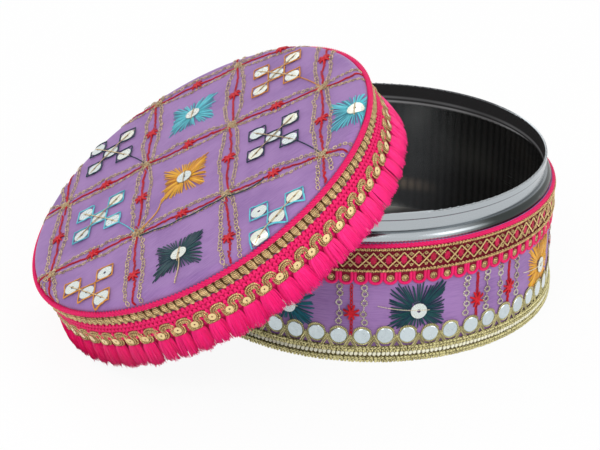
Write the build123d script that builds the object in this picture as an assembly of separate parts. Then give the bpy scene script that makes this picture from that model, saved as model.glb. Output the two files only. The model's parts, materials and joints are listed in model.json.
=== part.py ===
from build123d import *
import os
from math import atan2, cos, degrees, hypot, pi, radians, sin, sqrt

# Round sweet box of thin steel, wrapped in embroidered cloth and braid, with its cap lid off
# and leaning on the rim. Millimetres, +Z up. The origin is the centre of the box's bottom face,
# and the lid leans towards -X, with its low edge beside the box.

# Steel box: a drawn pan with a rounded shoulder, a straight neck and a hemmed rim
body_radius = 99.6
steel = 0.6
bottom_corner = 1.5
shoulder_height = 67.6
shoulder_radius = 3.5
neck_length = 10.1
hem_length = 4.4
hem_bulge = 0.65

# Cloth round the box
box_cloth = 0.7
box_cloth_bottom = 1.2

# Upper trim of the box, from the pink cord down to the loops
trim_top = 66.3
top_cord_radius = 0.95
ribbon_height = 13.2
ribbon_thickness = 0.5
gold_cord_radius = 0.75
lattice_height = 8.8
lattice_relief = 0.9
loop_drop = 7.4
loop_relief = 1.4

# Mirror row and base braid of the box
mirror_count = 54
mirror_radius = 4.8
mirror_thickness = 1.2
mirror_height = 14.9
mirror_rim = 0.55
mirror_turn = 2.0
base_braid_bottom = 0.5
base_braid_height = 8.4
base_braid_thickness = 1.3
cream_row_height = 5.0
cream_row_radius = 0.5

# Embroidery round the box: upright chains and red lines with starbursts between them
panel_count = 9
panel_start = -76.0
panel_spacing = 38.55
chain_offset = 6.4
chain_width = 3.6
red_line_width = 1.0
knot_radius = 3.3
knot_height = 27.5
thread_relief = 0.6
box_burst_width = 29.0
box_burst_height = 22.0
box_burst_centre = 32.0
box_sequin_radius = 4.5
box_sequin_height = 28.2

# Lid: a drawn steel cap with foam and cloth over it, sizes measured down from the edge cord
cap_inner_radius = 97.8
cap_steel = 0.5
cap_top_drop = 3.6
skirt_depth = 20.5
cap_corner = 1.2
lid_cloth = 1.2
top_cloth = 0.9
lid_edge_height = 4.4
lid_crown = 1.4
crown_flat = 8.0
lid_edge_radius = 3.6

# Trim of the lid's side
edge_cord_radius = 1.3
puff_top_drop = 1.5
puff_height = 6.4
puff_relief = 2.1
band_thickness = 0.6
scroll_count = 66
scroll_top_drop = 12.4
scroll_height = 10.2
scroll_relief = 1.4
disc_edge = 2.0
cover_hem = 1.0
disc_radius = 2.0
disc_thickness = 0.5
fringe_length = 10.7
fringe_thickness = 1.9
fringe_flare = 3.5

# Embroidery on the lid's top: a turned grid with a motif in each cell
grid_turn = -21.6
grid_step_x = 52.4
grid_step_y = 63.2
grid_origin = (29.3, 14.1)
stitch_limit = 95.0
line_width = 1.3
stitch_gap = 0.1
lid_chain_width = 1.8
chain_bow = 5.0
knot_disc_radius = 2.9
crossing_radius = 3.6
gold_knot_radius = 2.9
star_width = 27.0
star_height = 28.0
star_waist = 0.88
star_colours = 4
petal_colours = 3
edge_cell_reach = 8.0
sequin_radius = 4.0
sequin_hole = 0.6
sequin_thickness = 0.4
petal_size = 9.6
petal_thread = 1.0
petal_reach = 13.6

# Lean of the lid: it rests on the rim inside its top and on the rim at one side of its skirt,
# and its low fringe touches the surface that the box stands on
lean_tilt = 30.9
seat_gap = 0.3
trim_clearance = 0.4

# Values worked out from the sizes above
rim_height = shoulder_height + shoulder_radius + neck_length
neck_radius = body_radius - shoulder_radius
rim_radius = neck_radius + hem_bulge
rim_inner_radius = neck_radius - steel
roll_radius = (rim_radius - rim_inner_radius) / 2
roll_centre = rim_radius - roll_radius
cloth_radius = body_radius + box_cloth
ribbon_top = trim_top - 2 * top_cord_radius
ribbon_bottom = ribbon_top - ribbon_height
ribbon_radius = cloth_radius + ribbon_thickness
cap_outer_radius = cap_inner_radius + cap_steel
lid_side_radius = cap_outer_radius + lid_cloth
band_top_drop = puff_top_drop + puff_height + stitch_gap
band_radius = lid_side_radius + band_thickness
fringe_top_drop = scroll_top_drop + scroll_height
fringe_drop = fringe_top_drop + fringe_length
fringe_radius = band_radius + fringe_flare + fringe_thickness / 2
trim_reach = ribbon_radius + loop_relief


def lean_position():
    """Centre of the lid's edge cord plane when it leans, from its three resting points."""
    slope = sin(radians(lean_tilt))
    rise = cos(radians(lean_tilt))
    height = seat_gap + fringe_radius * slope + fringe_drop * rise
    roll_above = rim_height - roll_radius - height
    away = roll_centre + (cap_top_drop + seat_gap + roll_radius + roll_above * rise) / slope
    skirt_reach = (skirt_depth + seat_gap + roll_radius + roll_above * rise) / slope
    along = -skirt_reach * rise - roll_above * slope
    half_cap = sqrt(cap_inner_radius**2 - along**2)
    half_rim = sqrt(roll_centre**2 - (away - skirt_reach) ** 2)
    return -away, -(half_cap - half_rim), height


lid_x, lid_y, lid_z = lean_position()
lid_place = Pos(lid_x, lid_y, lid_z) * Rot(0, -lean_tilt, 0)


def save(name, pieces, place=None):
    """Write the solids of one node, moved to their place in the part."""
    solids = []
    for piece in pieces:
        placed = place * piece if place else piece
        solids += placed.solids()
    shape = solids[0] if len(solids) == 1 else Compound(solids)
    export_step(shape, f"parts/{name}.step")
    return solids


def turned(outline):
    """Solid of revolution about the upright axis, from a closed outline of radius and height."""
    return revolve(Plane.XZ * make_face(outline), Axis.Z)


def tube(inner, outer, low, high):
    """Plain ring with a rectangular section."""
    return turned(Polyline((inner, low), (outer, low), (outer, high), (inner, high), close=True))


def cord_ring(radius, height, cord_radius):
    """Closed ring of round cord."""
    return Pos(0, 0, height) * Torus(radius, cord_radius)


def outward(radius, height):
    """Plane that touches the side at +X: its x axis runs round the side and its y axis is up."""
    return Plane(origin=(radius, 0, height), x_dir=(0, 1, 0), z_dir=(1, 0, 0))


def around(piece, count, start=0.0):
    """Copies of a piece, evenly spaced round the upright axis."""
    return [Rot(0, 0, start + 360 / count * i) * piece for i in range(count)]


def box_pan():
    """Drawn steel pan: flat bottom, straight wall, quarter-round shoulder, neck and hemmed rim."""
    outside = Polyline(
        (0, 0),
        (body_radius - bottom_corner, 0),
    )
    outside += RadiusArc(
        (body_radius - bottom_corner, 0), (body_radius, bottom_corner), -bottom_corner
    )
    outside += Line((body_radius, bottom_corner), (body_radius, shoulder_height))
    outside += RadiusArc(
        (body_radius, shoulder_height),
        (neck_radius, shoulder_height + shoulder_radius),
        -shoulder_radius,
    )
    hem_bottom = rim_height - hem_length
    outside += Polyline(
        (neck_radius, shoulder_height + shoulder_radius),
        (neck_radius, hem_bottom),
        (rim_radius, hem_bottom + hem_bulge),
        (rim_radius, rim_height - roll_radius),
    )
    outside += ThreePointArc(
        (rim_radius, rim_height - roll_radius),
        (roll_centre, rim_height),
        (rim_inner_radius, rim_height - roll_radius),
    )
    outside += Line(
        (rim_inner_radius, rim_height - roll_radius),
        (rim_inner_radius, shoulder_height + shoulder_radius),
    )
    outside += RadiusArc(
        (rim_inner_radius, shoulder_height + shoulder_radius),
        (body_radius - steel, shoulder_height),
        shoulder_radius,
    )
    outside += Polyline(
        (body_radius - steel, shoulder_height),
        (body_radius - steel, steel),
        (0, steel),
        (0, 0),
    )
    return turned(outside)


def box_cover():
    """Cloth wrapped round the steel wall."""
    return tube(body_radius, cloth_radius, box_cloth_bottom, trim_top)


def mirror_disc():
    """Round mirror sewn on the cloth."""
    face = outward(cloth_radius, mirror_height) * Circle(mirror_radius - mirror_rim)
    return extrude(face, mirror_thickness)


def mirror_ring():
    """Gold cord round a mirror."""
    centre = outward(cloth_radius + mirror_rim, mirror_height)
    return centre * Torus(mirror_radius, mirror_rim)


def base_braid():
    """Woven gimp braid round the foot of the box, with rounded edges."""
    high = base_braid_bottom + base_braid_height
    section = outward_section(
        cloth_radius, base_braid_thickness, base_braid_bottom, high
    )
    return turned(section)


def outward_section(inner, thickness, low, high):
    """Half-round section of a flat braid that lies on a side."""
    edge = thickness * 0.35
    line = Polyline((inner, high), (inner, low), (inner + edge, low))
    line += ThreePointArc(
        (inner + edge, low), (inner + thickness, (low + high) / 2), (inner + edge, high)
    )
    line += Line((inner + edge, high), (inner, high))
    return line


def panel_angles():
    """Angles of the red lines with their chains round the box."""
    return [panel_start - panel_spacing * i for i in range(panel_count + 1)]


def panel_span():
    """Lowest and highest point of the embroidery, between the mirror row and the loops."""
    bottom = mirror_height + mirror_radius + mirror_rim + stitch_gap
    return bottom, ribbon_bottom - loop_drop - stitch_gap


def burst_angles():
    """Angles of the starbursts, midway between the red lines."""
    return [panel_start - panel_spacing * (i + 0.5) for i in range(panel_count)]


def knot_outline(radius):
    """Eight-pointed knot of satin stitches."""
    star = Rectangle(radius * 1.45, radius * 1.45)
    star += Rot(0, 0, 45) * Rectangle(radius * 1.45, radius * 1.45)
    return star


def box_red_stitching():
    """Upright red lines, each with its star knot."""
    bottom, top = panel_span()
    pieces = []
    for angle in panel_angles():
        line = Pos(0, (top + bottom) / 2) * Rectangle(red_line_width, top - bottom)
        shape = line + Pos(0, knot_height) * knot_outline(knot_radius)
        pieces.append(Rot(0, 0, angle) * extrude(outward(cloth_radius, 0) * shape, thread_relief))
    return pieces


def box_chains():
    """Upright chains of thread rings on both sides of each red line."""
    bottom, top = panel_span()
    strip = Pos(0, (top + bottom) / 2) * Rectangle(chain_width, top - bottom)
    piece = extrude(outward(cloth_radius, 0) * strip, thread_relief)
    turn = degrees(chain_offset / cloth_radius)
    return [Rot(0, 0, angle + side) * piece for angle in panel_angles() for side in (-turn, turn)]


def star_outline(width, height):
    """Four-cornered starburst with its sides drawn in."""
    corners = []
    for across, up in ((1, 0), (1, 1), (0, 1), (-1, 1), (-1, 0), (-1, -1), (0, -1), (1, -1)):
        reach = 1.0 if across and up else star_waist
        corners.append((across * reach * width / 2, up * reach * height / 2))
    return make_face(Polyline(*corners, close=True))


def box_burst():
    """Starburst of straight stitches that follows the round side."""
    depth = box_burst_width**2 / (4 * cloth_radius)
    star = outward(cloth_radius - depth, box_burst_centre) * star_outline(
        box_burst_width, box_burst_height
    )
    skin = tube(
        cloth_radius,
        cloth_radius + thread_relief,
        box_burst_centre - box_burst_height,
        box_burst_centre + box_burst_height,
    )
    return skin & extrude(star, depth + 2 * thread_relief)


def box_bursts(first):
    """Every third starburst round the box, beginning with the given one."""
    piece = box_burst()
    return [Rot(0, 0, angle) * piece for angle in burst_angles()[first::3]]


def sequin(radius):
    """Flat spangle with a small centre hole."""
    return Circle(radius) - Circle(sequin_hole)


def box_sequins():
    """One sequin in the middle of each starburst."""
    place = outward(cloth_radius + thread_relief + trim_clearance, box_sequin_height)
    piece = extrude(place * sequin(box_sequin_radius), sequin_thickness)
    return [Rot(0, 0, angle) * piece for angle in burst_angles()]


def lid_shell():
    """Drawn steel cap with a plain cut edge."""
    top = -cap_top_drop + cap_steel
    bottom = -skirt_depth
    line = Polyline((0, top), (cap_outer_radius - cap_corner, top))
    line += RadiusArc(
        (cap_outer_radius - cap_corner, top), (cap_outer_radius, top - cap_corner), cap_corner
    )
    line += Polyline(
        (cap_outer_radius, top - cap_corner),
        (cap_outer_radius, bottom),
        (cap_inner_radius, bottom),
        (cap_inner_radius, -cap_top_drop),
        (0, -cap_top_drop),
        (0, top),
    )
    return turned(line)


def crown_height(reach):
    """Height of the cloth top above the edge cord plane, at a distance from the lid's axis."""
    flat = lid_side_radius - lid_edge_radius
    beyond = max(reach - crown_flat, 0) / (flat - crown_flat)
    return lid_edge_height + lid_crown * (1 - beyond**2)


def crowned(side, bottom, drop):
    """Closed solid below the crowned top, lowered by a drop, down to a flat bottom."""
    flat = lid_side_radius - lid_edge_radius
    shoulder = lid_edge_height - lid_edge_radius
    line = Line((0, bottom), (side, bottom))
    line += Line((side, bottom), (side, shoulder))
    line += ThreePointArc(
        (side, shoulder),
        (
            flat + (side - flat) * cos(radians(45)),
            shoulder + (lid_edge_radius - drop) * sin(radians(45)),
        ),
        (flat, lid_edge_height - drop),
    )
    half = (flat + crown_flat) / 2
    line += ThreePointArc(
        (flat, lid_edge_height - drop),
        (half, crown_height(half) - drop),
        (crown_flat, crown_height(0) - drop),
    )
    line += Polyline(
        (crown_flat, crown_height(0) - drop),
        (0, crown_height(0) - drop),
        (0, bottom),
    )
    return turned(line)


def lid_pad():
    """Foam between the steel top and the cloth."""
    return crowned(cap_outer_radius, -cap_top_drop + cap_steel, top_cloth)


def lid_cover():
    """Cloth over the foam and down the side of the cap."""
    hem = cover_hem - skirt_depth
    return crowned(lid_side_radius, hem, 0) - crowned(cap_outer_radius, hem, top_cloth)


def pink_band():
    """Knitted band that carries the scroll braid and the fringe."""
    return tube(lid_side_radius, band_radius, -fringe_top_drop, -band_top_drop)


def scroll_disc():
    """Flat gold spangle in a lower arch of the scroll."""
    lower = -scroll_top_drop - scroll_height + disc_radius + disc_edge
    face = outward(band_radius + scroll_relief, lower) * Circle(disc_radius)
    return extrude(face, disc_thickness)


def lid_fringe():
    """Thread fringe as one flared ring, parted where the box's wall and rim stand in its way."""
    inner = lid_side_radius
    low = -fringe_drop
    knee = -fringe_top_drop - fringe_length * 0.4
    middle = inner + fringe_flare * 0.7 + fringe_thickness / 2
    line = Polyline(
        (inner, -fringe_top_drop),
        (inner + fringe_thickness, -fringe_top_drop),
        (middle + fringe_thickness / 2, knee),
        (fringe_radius, low),
        (fringe_radius - fringe_thickness, low),
        (middle - fringe_thickness / 2, knee),
        close=True,
    )
    return parted(turned(line))


def parted(ring):
    """Soft ring of the leaning lid, cut away where the box's wall and rim stand in its way."""
    rest = lid_place * ring - wall_envelope()
    return [max(rest.solids(), key=lambda solid: solid.volume)]


def wall_envelope():
    """Space of the box's wall and trim and all that lies below it, with a clearance."""
    gap = trim_clearance
    outline = Polyline(
        (rim_inner_radius - gap, -gap),
        (rim_inner_radius - gap, rim_height + gap),
        (rim_radius + gap, rim_height + gap),
        (rim_radius + gap, shoulder_height + shoulder_radius + gap),
        (cloth_radius + gap, shoulder_height + shoulder_radius + gap),
        (cloth_radius + gap, trim_top + gap),
        (trim_reach + gap, trim_top + gap),
        (trim_reach + gap, -gap),
        close=True,
    )
    return turned(outline)


def grid_point(column, row):
    """Place of a grid crossing on the lid's top."""
    turn = radians(grid_turn)
    across = column * grid_step_x
    up = row * grid_step_y
    x = grid_origin[0] + across * cos(turn) - up * sin(turn)
    y = grid_origin[1] + across * sin(turn) + up * cos(turn)
    return x, y


def on_top(x, y, turn=0.0, lift=0.0):
    """Plane that touches the crowned top at a point, with its x axis turned in plan."""
    flat = lid_side_radius - lid_edge_radius
    reach = max(hypot(x, y), crown_flat)
    slope = 2 * lid_crown * (reach - crown_flat) / reach / (flat - crown_flat) ** 2
    direction = radians(turn)
    return Plane(
        origin=(x, y, crown_height(hypot(x, y)) + lift),
        x_dir=(cos(direction), sin(direction), 0),
        z_dir=(slope * x, slope * y, 1),
    )


def stitched(shape, x, y, turn, thickness, lift=0.0):
    """Stitching of a flat outline on the lid's top, kept inside the round edge."""
    direction = radians(-turn)
    centre_x = -x * cos(direction) + y * sin(direction)
    centre_y = -x * sin(direction) - y * cos(direction)
    kept = shape & Pos(centre_x, centre_y) * Circle(stitch_limit)
    if not kept or not kept.faces():
        return []
    return extrude(on_top(x, y, turn, lift) * kept, thickness).solids()


def grid_edges():
    """Midpoint, direction and length of each grid edge that reaches the lid's top."""
    edges = []
    for column in range(-4, 5):
        for row in range(-3, 4):
            x, y = grid_point(column + 0.5, row)
            edges.append((x, y, grid_turn, grid_step_x))
            x, y = grid_point(column, row + 0.5)
            edges.append((x, y, grid_turn + 90, grid_step_y))
    return [edge for edge in edges if hypot(edge[0], edge[1]) < stitch_limit + edge[3] / 2]


def cell_middles(first_column, colour_index, colours):
    """Middles of the cells in every other column whose turn of colour matches."""
    middles = []
    for pair in range(-1, 2):
        for row in range(-3, 3):
            if (pair + row + colour_index) % colours:
                continue
            x, y = grid_point(first_column + 2 * pair + 0.5, row + 0.5)
            if hypot(x, y) < stitch_limit + edge_cell_reach:
                middles.append((x, y))
    return middles


def lid_red_lines():
    """Red chain-stitch lines along the grid."""
    pieces = []
    for x, y, turn, length in grid_edges():
        line = Rectangle(length - 2 * crossing_radius, line_width)
        pieces += stitched(line, x, y, turn, thread_relief)
    return pieces


def lid_red_knots():
    """Red star knot at the middle of each grid edge."""
    pieces = []
    for x, y, turn, _ in grid_edges():
        if hypot(x, y) < stitch_limit - knot_disc_radius:
            pieces += stitched(
                knot_outline(knot_disc_radius), x, y, turn, thread_relief, thread_relief
            )
    return pieces


def bowed_strip(length, bow):
    """Lens-shaped strip that leaves the crossing, bows out to one side and comes back."""
    half = length / 2 - crossing_radius
    low = line_width / 2 + lid_chain_width + stitch_gap
    rise = bow - low
    near = low - lid_chain_width
    line = ThreePointArc((-half, low), (0, low + rise), (half, low))
    line += Line((half, low), (half, near))
    line += ThreePointArc((half, near), (0, near + rise), (-half, near))
    line += Line((-half, near), (-half, low))
    return make_face(line)


def lid_chains():
    """Ring-chain stitching that bows out on both sides of each grid line."""
    pieces = []
    for x, y, turn, length in grid_edges():
        strip = bowed_strip(length, chain_bow)
        pieces += stitched(strip, x, y, turn, thread_relief)
        pieces += stitched(Rot(0, 0, 180) * strip, x, y, turn, thread_relief)
    return pieces


def lid_gold_knots():
    """Gold knot at each grid crossing."""
    pieces = []
    for column in range(-4, 5):
        for row in range(-3, 4):
            x, y = grid_point(column, row)
            if hypot(x, y) < stitch_limit - crossing_radius:
                pieces += stitched(Circle(gold_knot_radius), x, y, grid_turn, 2 * thread_relief)
    return pieces


def lid_stars(colour_index):
    """Starbursts of one colour, cut by the lid's edge where they meet it."""
    pieces = []
    for x, y in cell_middles(-1, colour_index, star_colours):
        pieces += stitched(star_outline(star_width, star_height), x, y, grid_turn, thread_relief)
    return pieces


def petal_places(x, y):
    """Middles of the four petals about the middle of a cell."""
    places = []
    for quarter in range(4):
        direction = radians(grid_turn + 45 + 90 * quarter)
        places.append((x + petal_reach * cos(direction), y + petal_reach * sin(direction)))
    return places


def lid_petals(colour_index):
    """Square thread petals of one colour, four round each middle sequin."""
    outline = RectangleRounded(petal_size, petal_size, petal_size * 0.2)
    hole = petal_size - 2 * petal_thread
    outline -= RectangleRounded(hole, hole, hole * 0.2)
    pieces = []
    for x, y in cell_middles(0, colour_index, petal_colours):
        for petal_x, petal_y in petal_places(x, y):
            pieces += stitched(outline, petal_x, petal_y, grid_turn, thread_relief)
    return pieces


def lid_sequins():
    """Sequins in the stars and crosses of the lid's top."""
    places = []
    for colour in range(star_colours):
        places += cell_middles(-1, colour, star_colours)
    for colour in range(petal_colours):
        for x, y in cell_middles(0, colour, petal_colours):
            places.append((x, y))
            places += petal_places(x, y)
    lift = thread_relief + trim_clearance
    pieces = []
    for x, y in places:
        if hypot(x, y) < stitch_limit - sequin_radius:
            pieces += stitched(sequin(sequin_radius), x, y, 0, sequin_thickness, lift)
    return pieces


def write_box():
    """Write the nodes of the box."""
    save("box_pan", [box_pan()])
    save("box_cover", [box_cover()])
    cord_line = cloth_radius + top_cord_radius
    save("box_top_cord", [cord_ring(cord_line, trim_top - top_cord_radius, top_cord_radius)])
    save("box_ribbon", [tube(cloth_radius, ribbon_radius, ribbon_bottom, ribbon_top)])
    gold_line = ribbon_radius + gold_cord_radius
    gold_edges = (ribbon_top - gold_cord_radius, ribbon_bottom + gold_cord_radius)
    save("box_gold_cords", [cord_ring(gold_line, level, gold_cord_radius) for level in gold_edges])
    lattice_low = (ribbon_top + ribbon_bottom - lattice_height) / 2
    lattice = outward_section(ribbon_radius, lattice_relief, lattice_low, lattice_low + lattice_height)
    save("box_lattice_band", [turned(lattice)])
    loops = outward_section(cloth_radius, loop_relief, ribbon_bottom - loop_drop, ribbon_bottom)
    save("box_loop_edging", [turned(loops)])
    save("box_mirrors", around(mirror_disc(), mirror_count, mirror_turn))
    save("box_mirror_rims", around(mirror_ring(), mirror_count, mirror_turn))
    save("box_base_braid", [base_braid()])
    cream_line = cloth_radius + base_braid_thickness + cream_row_radius
    save("box_cream_row", [cord_ring(cream_line, cream_row_height, cream_row_radius)])
    save("box_ring_chains", box_chains())
    save("box_red_stitching", box_red_stitching())
    save("box_teal_bursts", box_bursts(0))
    save("box_blue_bursts", box_bursts(1))
    save("box_yellow_bursts", box_bursts(2))
    save("box_sequins", box_sequins())


def write_lid():
    """Write the nodes of the lid, each in its leaning place."""
    save("lid_shell", [lid_shell()], lid_place)
    save("lid_pad", [lid_pad()], lid_place)
    save("lid_cover", [lid_cover()], lid_place)
    edge_line = lid_side_radius + edge_cord_radius
    save("lid_edge_cord", [cord_ring(edge_line, 0, edge_cord_radius)], lid_place)
    puffs = outward_section(
        lid_side_radius, puff_relief, -puff_top_drop - puff_height, -puff_top_drop
    )
    save("lid_gold_puffs", [turned(puffs)], lid_place)
    save("lid_pink_band", parted(pink_band()))
    scroll_bottom = -scroll_top_drop - scroll_height
    scroll = outward_section(band_radius, scroll_relief, scroll_bottom, -scroll_top_drop)
    save("lid_scroll_braid", parted(turned(scroll)))
    disc_start = 180 / scroll_count
    save("lid_scroll_discs", around(scroll_disc(), scroll_count, disc_start), lid_place)
    save("lid_fringe", lid_fringe())
    save("lid_red_lines", lid_red_lines(), lid_place)
    save("lid_red_knots", lid_red_knots(), lid_place)
    save("lid_ring_chains", lid_chains(), lid_place)
    save("lid_gold_knots", lid_gold_knots(), lid_place)
    for index, colour in enumerate(("cyan", "yellow", "teal")):
        save(f"lid_{colour}_stars", lid_stars(index), lid_place)
    for index, colour in enumerate(("orange", "navy", "cyan")):
        save(f"lid_{colour}_petals", lid_petals(index), lid_place)
    save("lid_sequins", lid_sequins(), lid_place)


os.makedirs("parts", exist_ok=True)
write_box()
write_lid()
print(f"lid centre {lid_x:.2f} {lid_y:.2f} {lid_z:.2f}, rim height {rim_height:.2f}")
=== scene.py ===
"""Looks of a round sweet box wrapped in embroidered lilac cloth, with its padded lid leaning on the rim.

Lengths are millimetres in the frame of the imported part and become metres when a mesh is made. Ornament
is drawn flat, as (along, up, out) of the cloth, and is then wrapped on the box's side, the lid's side or
the lid's crowned top.
"""

import json
import logging
import math
from abc import ABC, abstractmethod
from dataclasses import dataclass, field, fields, replace
from enum import Enum
from typing import Any, Callable, Sequence

import bpy
import numpy as np
from mathutils import Matrix

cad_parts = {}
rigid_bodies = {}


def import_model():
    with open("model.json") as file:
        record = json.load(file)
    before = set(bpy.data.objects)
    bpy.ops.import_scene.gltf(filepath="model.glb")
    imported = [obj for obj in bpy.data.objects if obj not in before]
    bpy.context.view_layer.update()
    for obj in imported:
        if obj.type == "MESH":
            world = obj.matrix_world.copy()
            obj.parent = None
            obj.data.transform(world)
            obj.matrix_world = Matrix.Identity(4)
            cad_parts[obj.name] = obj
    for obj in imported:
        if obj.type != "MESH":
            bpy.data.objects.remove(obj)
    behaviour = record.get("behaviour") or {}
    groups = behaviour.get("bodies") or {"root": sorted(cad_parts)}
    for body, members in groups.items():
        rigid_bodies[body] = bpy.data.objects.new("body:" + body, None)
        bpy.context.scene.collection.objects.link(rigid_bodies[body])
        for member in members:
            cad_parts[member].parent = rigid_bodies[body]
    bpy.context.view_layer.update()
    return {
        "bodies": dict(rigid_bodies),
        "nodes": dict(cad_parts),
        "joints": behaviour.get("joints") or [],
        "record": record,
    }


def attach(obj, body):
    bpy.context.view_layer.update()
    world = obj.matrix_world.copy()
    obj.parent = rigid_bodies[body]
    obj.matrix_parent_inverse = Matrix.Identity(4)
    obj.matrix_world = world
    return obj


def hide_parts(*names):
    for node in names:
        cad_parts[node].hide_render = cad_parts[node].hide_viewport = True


MM = 0.001
TURN = 2 * math.pi
UP = np.array((0.0, 1.0, 0.0))
OUT = np.array((0.0, 0.0, 1.0))
GRAIN = "grain"
LOG = logging.getLogger("sweet_box")
NECK_INSET = 2.8
LINER_INSET = 4.8
SHOULDER_INSET = 3.8
NECK_HEIGHT = 12.2
LEAST_HEIGHT = 0.15
Array = np.ndarray
Random = np.random.Generator


class Tint(Enum):
    """Colours of the object, as screen values from 0 to 255."""

    LILAC = (156, 119, 175)
    LILAC_SHADE = (134, 98, 156)
    HOT_PINK = (244, 22, 108)
    SILK_PINK = (255, 30, 130)
    DEEP_PINK = (212, 8, 84)
    DARK_RED = (128, 10, 40)
    RED = (212, 12, 34)
    CRIMSON = (150, 8, 36)
    GOLD = (230, 198, 138)
    PALE_GOLD = (238, 210, 150)
    OLIVE_GOLD = (228, 220, 164)
    DARK_GOLD = (104, 74, 36)
    DARK_OLIVE = (112, 100, 54)
    CREAM = (248, 246, 226)
    RING_THREAD = (255, 228, 180)
    RING_SHADE = (140, 112, 82)
    SILVER_THREAD = (228, 222, 208)
    CYAN = (104, 214, 228)
    CYAN_SHADE = (56, 140, 164)
    YELLOW = (246, 184, 48)
    AMBER = (196, 112, 34)
    TEAL = (6, 74, 74)
    BLUE_TEAL = (24, 110, 132)
    NAVY = (18, 38, 68)
    ORANGE = (222, 148, 50)
    SPANGLE = (206, 216, 216)
    MIRROR = (200, 212, 216)
    STEEL = (176, 182, 186)
    # Painted dark reflection and shade of the steel's inside, not a colour of the steel itself.
    DARK_STEEL = (96, 93, 92)
    FOAM = (236, 230, 214)
    WARM_SHINE = (238, 234, 206)

    @property
    def linear(self) -> tuple[float, float, float, float]:
        """The colour as linear red, green, blue and alpha."""
        parts = np.array(self.value) / 255
        low = parts / 12.92
        high = ((parts + 0.055) / 1.055) ** 2.4
        return (*np.where(parts < 0.04045, low, high).tolist(), 1.0)


class Linear(Enum):
    """Colours given as linear red, green, blue and alpha: the steel's painted reflections of what lies round it, its
    painted shade, and the studio's own.
    """

    SMUDGE = (0.33, 0.38, 0.4, 1.0)
    FOAM_CELL = (0.5, 0.46, 0.36, 1.0)
    # The next eight are painted reflections and painted shade on the steel.
    NECK_INSIDE = (0.035, 0.035, 0.038, 1.0)
    DARK_ROOM = (0.008, 0.0076, 0.0074, 1.0)
    BRIGHT_BAND = (0.42, 0.42, 0.43, 1.0)
    WARM_STREAK = (0.26, 0.19, 0.13, 1.0)
    BOTTOM_POOL = (0.22, 0.21, 0.19, 1.0)
    SHOULDER = (0.045, 0.052, 0.05, 1.0)
    NECK_LINE = (0.06, 0.065, 0.07, 1.0)
    NECK_BACK = (0.03, 0.03, 0.035, 1.0)
    BLACK = (0.0, 0.0, 0.0, 1.0)
    PAPER = (0.86, 0.86, 0.86, 1.0)
    WHITE = (1.0, 1.0, 1.0, 1.0)


def arithmetic(operation: str, swapped: bool = False) -> Callable[..., "Signal"]:
    """A method of signals that adds a Math node, with its two values swapped if asked."""

    def combine(signal: "Signal", other: Any = 0.0) -> "Signal":
        """Result of the Math node."""
        return signal.graph.math(operation, *((other, signal) if swapped else (signal, other)))

    return combine


class Signal:
    """One output socket of a shader graph, used in arithmetic."""

    def __init__(self, graph: "Graph", socket: bpy.types.NodeSocket) -> None:
        """Keeps the graph and the socket."""
        self.graph = graph
        self.socket = socket

    __add__, __radd__ = arithmetic("ADD"), arithmetic("ADD", True)
    __sub__, __rsub__ = arithmetic("SUBTRACT"), arithmetic("SUBTRACT", True)
    __mul__, __rmul__ = arithmetic("MULTIPLY"), arithmetic("MULTIPLY", True)
    power, sine, cosine = arithmetic("POWER"), arithmetic("SINE"), arithmetic("COSINE")


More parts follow.
